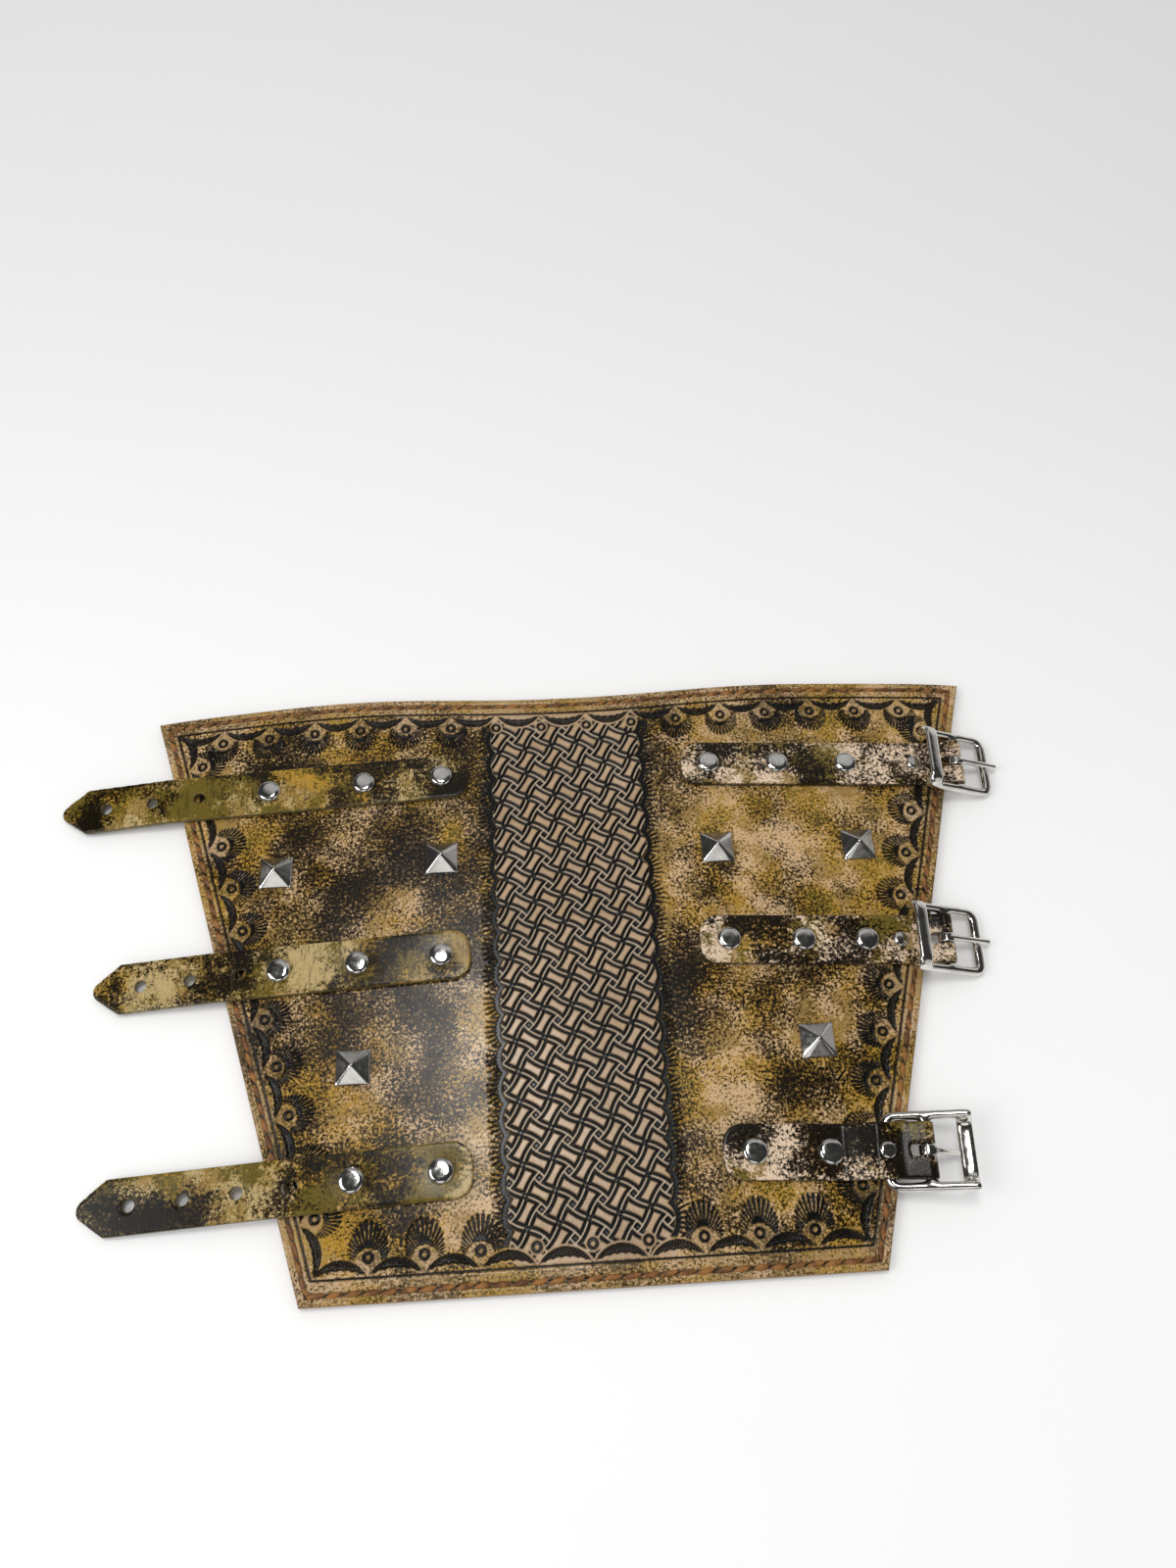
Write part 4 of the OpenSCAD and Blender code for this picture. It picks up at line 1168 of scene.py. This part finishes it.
# %% A tree that sets domes on points
CROWN = 0.09
CAP_LOW = -0.16
dome_tree, dome_in = new_tree("domed_caps", "Radius", "Height", count="Sides")
ball_sizes = {"Segments": dome_in["Sides"], "Rings": 20, "Radius": 1.0}
ball = first_out(dome_tree, "GeometryNodeMeshUVSphere", ball_sizes)
x, y, z = split_xyz(dome_tree, first_out(dome_tree, "GeometryNodeInputPosition"))
out_squared = x * x + y * y
roll = maths("SQRT", maths("MAXIMUM", 1.0 - out_squared ** 4.0, 0.0))
is_top = maths("GREATER_THAN", z, 0.0)
top_z = (1.0 - out_squared) * CROWN + roll * (1 - CROWN)
cap_z = is_top * top_z + (1.0 - is_top) * maths("MAXIMUM", z, CAP_LOW)
cap_size = xyz(dome_tree, dome_in["Radius"], dome_in["Radius"], dome_in["Height"])
factors = {0: xyz(dome_tree, x, y, cap_z), 1: cap_size}
cap_place = first_out(dome_tree, "ShaderNodeVectorMath", factors, operation="MULTIPLY")
set_on_points(dome_tree, dome_in, moved_to(dome_tree, ball, cap_place))
print("dome tree:", len(dome_tree.nodes), "nodes")

# %% Rivets on each body
TURN_OVER = Matrix.Rotation(math.pi, 4, "X")
SINK = 0.2
WIDE_CAP = 3.5
WIDE_RISE = 1.6
SMALL_RISE = 1.1
BACK_R = 4
BACK_RISE = 0.45
for body, found in RIVETS.items():
    meshes = []
    for rivet_x, rivet_y, radius, low, high in found:
        rise = WIDE_RISE if radius > WIDE_CAP else SMALL_RISE
        sizes = {"Radius": radius * MM, "Height": (rise + SINK) * MM, "Sides": 40, "Finish": rivet_nickel}
        meshes.append(grow(dome_tree, [(rivet_x, rivet_y, high - rise - SINK)], sizes))
        if low < LINING_Z:
            sizes = {"Radius": BACK_R * MM, "Height": BACK_RISE * MM, "Sides": 32, "Finish": rivet_nickel}
            back = grow(dome_tree, [(rivet_x, -rivet_y, -low - BACK_RISE)], sizes)
            back.transform(TURN_OVER)
            meshes.append(back)
    piece = joined(f"rivet_caps_{body}", meshes, rivet_nickel)
    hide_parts(f"rivets_{body}")
    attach(piece, body)
    print(piece.name, len(found), "rivets")

# %% [markdown]
# ## Studs
# The studs are square pyramids struck from sheet metal, with a short upright skirt and ridges worn round.
# A finely divided block is lifted to the pyramid by a formula. A high power of X and Y gives a square
# outline with round ridges, and needs no bevel.

# %% A tree that sets pyramids on points
RIDGE_POWER = 9.0
WORN_FROM = 0.93
WORN_SOFT = 0.12
TOP_SHRINK = 0.03
stud_tree, stud_in = new_tree("pyramid_studs", "Side", "Skirt", "Height", count="Cuts")
cuts = {"Size": (2, 2, 2), "Vertices X": stud_in["Cuts"], "Vertices Y": stud_in["Cuts"], "Vertices Z": 2}
block = first_out(stud_tree, "GeometryNodeMeshCube", cuts)
x, y, z = split_xyz(stud_tree, first_out(stud_tree, "GeometryNodeInputPosition"))
away = (maths("ABSOLUTE", x) ** RIDGE_POWER + maths("ABSOLUTE", y) ** RIDGE_POWER) ** (1 / RIDGE_POWER)
worn = maths("SMOOTH_MIN", 1.0 - maths("MINIMUM", away, 1.0), WORN_FROM)
worn.socket.node.inputs[2].default_value = WORN_SOFT
peak = worn * (Value(stud_in["Height"]) - stud_in["Skirt"]) + stud_in["Skirt"]
is_top = maths("GREATER_THAN", z, 0.0)
half = Value(stud_in["Side"]) * 0.5
shrunk = half - is_top * (half * TOP_SHRINK)
stud_place = xyz(stud_tree, x * shrunk, y * shrunk, is_top * peak)
set_on_points(stud_tree, stud_in, moved_to(stud_tree, block, stud_place))
print("pyramid tree:", len(stud_tree.nodes), "nodes")

# %% Studs on each body
STUD_SKIRT = 0.9
STUD_SINK = 0.3
for body in RIVETED[:-1]:
    meshes = []
    for stud_x, stud_y, radius, low, high in centres(f"studs_{body}"):
        sizes = {
            "Side": 2 * radius * MM, "Skirt": STUD_SKIRT * MM, "Height": (high - FACE_Z + STUD_SINK) * MM,
            "Cuts": 33, "Finish": stud_nickel,
        }
        meshes.append(grow(stud_tree, [(stud_x, stud_y, FACE_Z - STUD_SINK)], sizes))
        print("stud at", round(stud_x, 1), round(stud_y, 1), "side", round(2 * radius, 2))
    piece = joined(f"studs_square_{body}", meshes, stud_nickel)
    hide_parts(f"studs_{body}")
    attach(piece, body)
print("studs set on five bodies")

# %% [markdown]
# ## Stitches
# A waxed thread runs along all four edges, through the panel and the lining. On the outer face it lies in
# a groove as short slanted dashes. A dash is a ball pulled long with few faces, because there are
# hundreds. Points are laid along the edges here, with a direction on each, and Geometry Nodes sets a dash
# on every one. The dashes are joined into one piece for each strip.

# %% A tree that sets dashes on points
STITCH_PITCH = 6.1
STITCH_LENGTH = 6.3
STITCH_TURN = math.radians(11)
STITCH_Z = FACE_Z - 0.42
STITCH_POINT = 0.9
TURN_SHAKE = 0.05
stitch_tree, stitch_in = new_tree("thread_dashes", "Length", "Width", "Thickness")
ball = first_out(stitch_tree, "GeometryNodeMeshUVSphere", {"Segments": 10, "Rings": 9, "Radius": 0.5})
ball = first_out(stitch_tree, "GeometryNodeTransform", {"Geometry": ball, "Rotation": (0, math.pi / 2, 0)})
place = first_out(stitch_tree, "GeometryNodeInputPosition")
pointed = 1.0 - maths("ABSOLUTE", split_xyz(stitch_tree, place)[0]) * STITCH_POINT
factors = {0: place, 1: xyz(stitch_tree, 1.0, pointed, pointed)}
slimmed = first_out(stitch_tree, "ShaderNodeVectorMath", factors, operation="MULTIPLY")
dash = moved_to(stitch_tree, ball, slimmed)
dash_size = xyz(stitch_tree, stitch_in["Length"], stitch_in["Width"], stitch_in["Thickness"])
dash = first_out(stitch_tree, "GeometryNodeTransform", {"Geometry": dash, "Scale": dash_size})
turn = first_out(stitch_tree, "GeometryNodeInputNamedAttribute", {0: "turn"}, data_type="FLOAT_VECTOR")
set_on_points(stitch_tree, stitch_in, dash, first_out(stitch_tree, "FunctionNodeEulerToRotation", {0: turn}))
print("dash tree:", len(stitch_tree.nodes), "nodes")


# %% Thread along the edges
def stitch_points():
    """Place and direction of every stitch along the four edges."""
    corners = inset_corners(STITCH_IN, STITCH_IN, STITCH_IN)
    for n in range(4):
        start = corners[n]
        run = corners[(n + 1) % 4] - start
        count = round(np.hypot(*run) / STITCH_PITCH)
        for k in range(count):
            spot = start + run * (k + 0.5) / count
            slope = (bow(spot[0] + 1, spot[1]) - bow(spot[0] - 1, spot[1])) / 2
            yield spot[0], spot[1] + bow(*spot), math.atan2(run[1] + run[0] * slope, run[0])


stitches = np.array(list(stitch_points()))
jitter = np.random.default_rng(7).normal(0, 1, (len(stitches), 3))
for n, (side, line) in enumerate(PATCHES):
    up_share = (stitches[:, 1] + HALF_H) / (2 * HALF_H)
    seam_x = [wrist_x[seam] + (elbow_x[seam] - wrist_x[seam]) * up_share for seam in SEAMS[n:n + 2]]
    mine = (stitches[:, 0] >= seam_x[0]) & (stitches[:, 0] < seam_x[1])
    spots_here, shake = stitches[mine], jitter[mine]
    meshes = []
    # the dashes in the groove, and the flat ones on the lining
    for z, lean, width, thick, uneven in (
        (STITCH_Z, STITCH_TURN, 2.4, 1.5, 0.03),
        (LINING_LOW, 0, 1.6, 0.2, 0),
    ):
        points = np.column_stack([spots_here[:, :2], z + uneven * shake[:, 0]])
        heading = spots_here[:, 2] + lean + TURN_SHAKE * shake[:, 1]
        turns = np.column_stack([np.zeros((len(points), 2)), heading])
        sizes = {"Length": STITCH_LENGTH * MM, "Width": width * MM, "Thickness": thick * MM, "Finish": thread}
        meshes.append(grow(stitch_tree, points, sizes, {"turn": turns}))
    piece = joined(f"thread_{SIDE_NAMES[side]}_bend_{line}", meshes, thread)
    keep_flat(piece)
    bend_piece(piece)
    print(piece.name, len(spots_here), "stitches")

# %% [markdown]
# ## Buckles
# The frame and its centre bar are one casting, and the prong is bent from round bar. Castings have no
# sharp edge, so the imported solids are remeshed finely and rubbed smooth, and no edge has to be bevelled
# by hand.

# %% Frames and prongs
FLOOR_GAP = 0.02
# part, voxel in millimetres, smoothing steps, swell in millimetres
CASTINGS = (("frame", 0.3, 220, 0.32), ("prong", 0.25, 6, 0.03))
for row in ROWS:
    for part, voxel, steps, swell in CASTINGS:
        mesh = remeshed([f"buckle_{part}_{row}"], voxel, steps, STRAP_TURN["chape"], swell)
        points = read_vectors(mesh)
        points[:, 2] = np.maximum(points[:, 2], FLOOR_GAP * MM)
        mesh.vertices.foreach_set("co", points.ravel())
        piece = new_piece(f"buckle_{part}_{row}_cast", mesh, buckle_nickel)
        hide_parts(f"buckle_{part}_{row}")
        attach(piece, f"{part}_{row}")
        print(piece.name, len(mesh.polygons), "faces")

# %% [markdown]
# ## Floor, light and camera
# The bracer lies on a pale floor, painted darker towards the back as a painted falloff of light. The floor
# has an opening under the panel, a little smaller than the panel, so that the sides can roll down through
# it when the bracer is wrapped. One soft box overhead gives the leather its haze and the metal its
# highlights, and the world fills the shadows.

# %% Floor
FLOOR_REACH = 3000
OPENING_INSET = 2.5


def floor_grid():
    """A ring of four faces round an opening, in millimetres."""
    hole = [(x, y, 0) for x, y in inset_corners(OPENING_INSET, OPENING_INSET, OPENING_INSET)[::-1]]
    rim = [(s * FLOOR_REACH, t * FLOOR_REACH, 0) for s, t in ((-1, -1), (1, -1), (1, 1), (-1, 1))]
    return np.array(hole + rim, float), np.array([[4 + n, 4 + (n + 1) % 4, (n + 1) % 4, n] for n in range(4)])


floor_material, tree, shader = new_material("pale_floor")
place = add_node(tree, "ShaderNodeTexCoord").outputs["Object"]
paper = noise(tree, place, 60, 2)
# painted shade: the floor is painted darker towards the back, where the light falls off
painted_falloff = ramp(split_xyz(tree, place)[1], -0.15, 0.45)
pale = blend_colour(painted_falloff, (0.96, 0.96, 0.955), (0.80, 0.80, 0.795))
pale = blend_colour(paper * 0.04, pale, (0.6, 0.6, 0.6))
tree.links.new(pale, shader.inputs["Base Color"])
shader.inputs["Roughness"].default_value = 0.7
shader.inputs["Specular IOR Level"].default_value = 0.1
floor_points, floor_faces = floor_grid()
floor = make_mesh("floor", floor_points, [floor_faces], floor_material)
print("floor laid")

# %% World
FILL = 0.85
BACKDROP = 0.93
BELOW_HORIZON = 1.0
ABOVE_HORIZON = 0.045
world = bpy.data.worlds.new("studio")
scene.world = world
world.use_nodes = True
tree = world.node_tree
tree.nodes.clear()
ray = add_node(tree, "ShaderNodeLightPath").outputs
seen = maths("MAXIMUM", Value(ray["Is Glossy Ray"]), ray["Is Transmission Ray"])
direction = add_node(tree, "ShaderNodeTexCoord").outputs["Generated"]
sky = ramp(split_xyz(tree, direction)[2], -0.02, 0.03, BELOW_HORIZON, ABOVE_HORIZON)
# towards, cosine where the patch is full, cosine where it ends, strength
PATCHES_OF_LIGHT = (
    ((-0.12, -0.75, 0.64), 0.97, 0.92, 1.2),
    ((0.9, 0.33, 0.12), 0.975, 0.94, 0.40),
    ((-0.1, 1, 0.1), 0.97, 0.8, 0.45),
    ((0.70, 0.68, 0.20), 0.97, 0.90, 0.8),
    ((0.72, -0.66, 0.22), 0.97, 0.90, 0.8),
    ((0.12, 0.58, 0.80), 0.985, 0.955, 0.6),
    ((-0.08, 0.57, 0.81), 0.985, 0.955, 0.6),
    ((0.28, 0.56, 0.78), 0.985, 0.955, 0.6),
)
for towards, inner, outer, strength in PATCHES_OF_LIGHT:
    factors = {0: direction, 1: Vector(towards).normalized()}
    facing = add_node(tree, "ShaderNodeVectorMath", factors, operation="DOT_PRODUCT").outputs["Value"]
    sky = maths("MAXIMUM", sky, ramp(Value(facing), outer, inner, 0, strength))
fill = first_out(tree, "ShaderNodeBackground", {"Strength": FILL})
shown = first_out(tree, "ShaderNodeBackground", {"Strength": sky})
mixed = first_out(tree, "ShaderNodeMixShader", {0: seen, 1: fill, 2: shown})
backdrop = first_out(tree, "ShaderNodeBackground", {"Strength": BACKDROP})
mixed = first_out(tree, "ShaderNodeMixShader", {0: ray["Is Camera Ray"], 1: mixed, 2: backdrop})
add_node(tree, "ShaderNodeOutputWorld", {0: mixed})
print("world tree:", len(tree.nodes), "nodes")


# %% Soft boxes
def soft_box(name, place, size_x, size_y, power):
    """An area light that looks at the bracer."""
    light = bpy.data.lights.new(name, "AREA")
    light.shape = "RECTANGLE"
    light.size = size_x
    light.size_y = size_y
    light.energy = power
    holder = bpy.data.objects.new(name, light)
    holder.location = place
    holder.rotation_euler = (-Vector(place)).to_track_quat("-Z", "Y").to_euler()
    scene.collection.objects.link(holder)


soft_box("soft_box_over", (-0.10, 0.20, 1.2), 0.15, 0.36, 3.1)
soft_box("soft_box_side", (-0.9, -0.2, 0.9), 0.7, 0.7, 4.6)
print("lamps:", len(bpy.data.lights))

# %% Camera
PICTURE_HEIGHT = 1600
FOCAL_LENGTH = 1124.7
SENSOR_HEIGHT = 36
CAMERA_PLACE = (-0.00438, -0.12421, 0.4044)
CAMERA_TURNS = ((-3.707, "Z"), (26.42, "X"), (0.346, "Z"))
camera_data = bpy.data.cameras.new("camera")
camera = bpy.data.objects.new("camera", camera_data)
scene.collection.objects.link(camera)
camera_data.sensor_fit = "VERTICAL"
camera_data.sensor_height = SENSOR_HEIGHT
camera_data.lens = SENSOR_HEIGHT * FOCAL_LENGTH / PICTURE_HEIGHT
camera_data.clip_start = 0.01
camera_data.clip_end = 20
aim = Matrix.Translation(CAMERA_PLACE)
for degrees, axis in CAMERA_TURNS:
    aim = aim @ Matrix.Rotation(math.radians(degrees), 4, axis)
camera.matrix_world = aim
scene.camera = camera
scene.view_settings.view_transform = "Standard"
print("camera height", camera.matrix_world.translation.z)
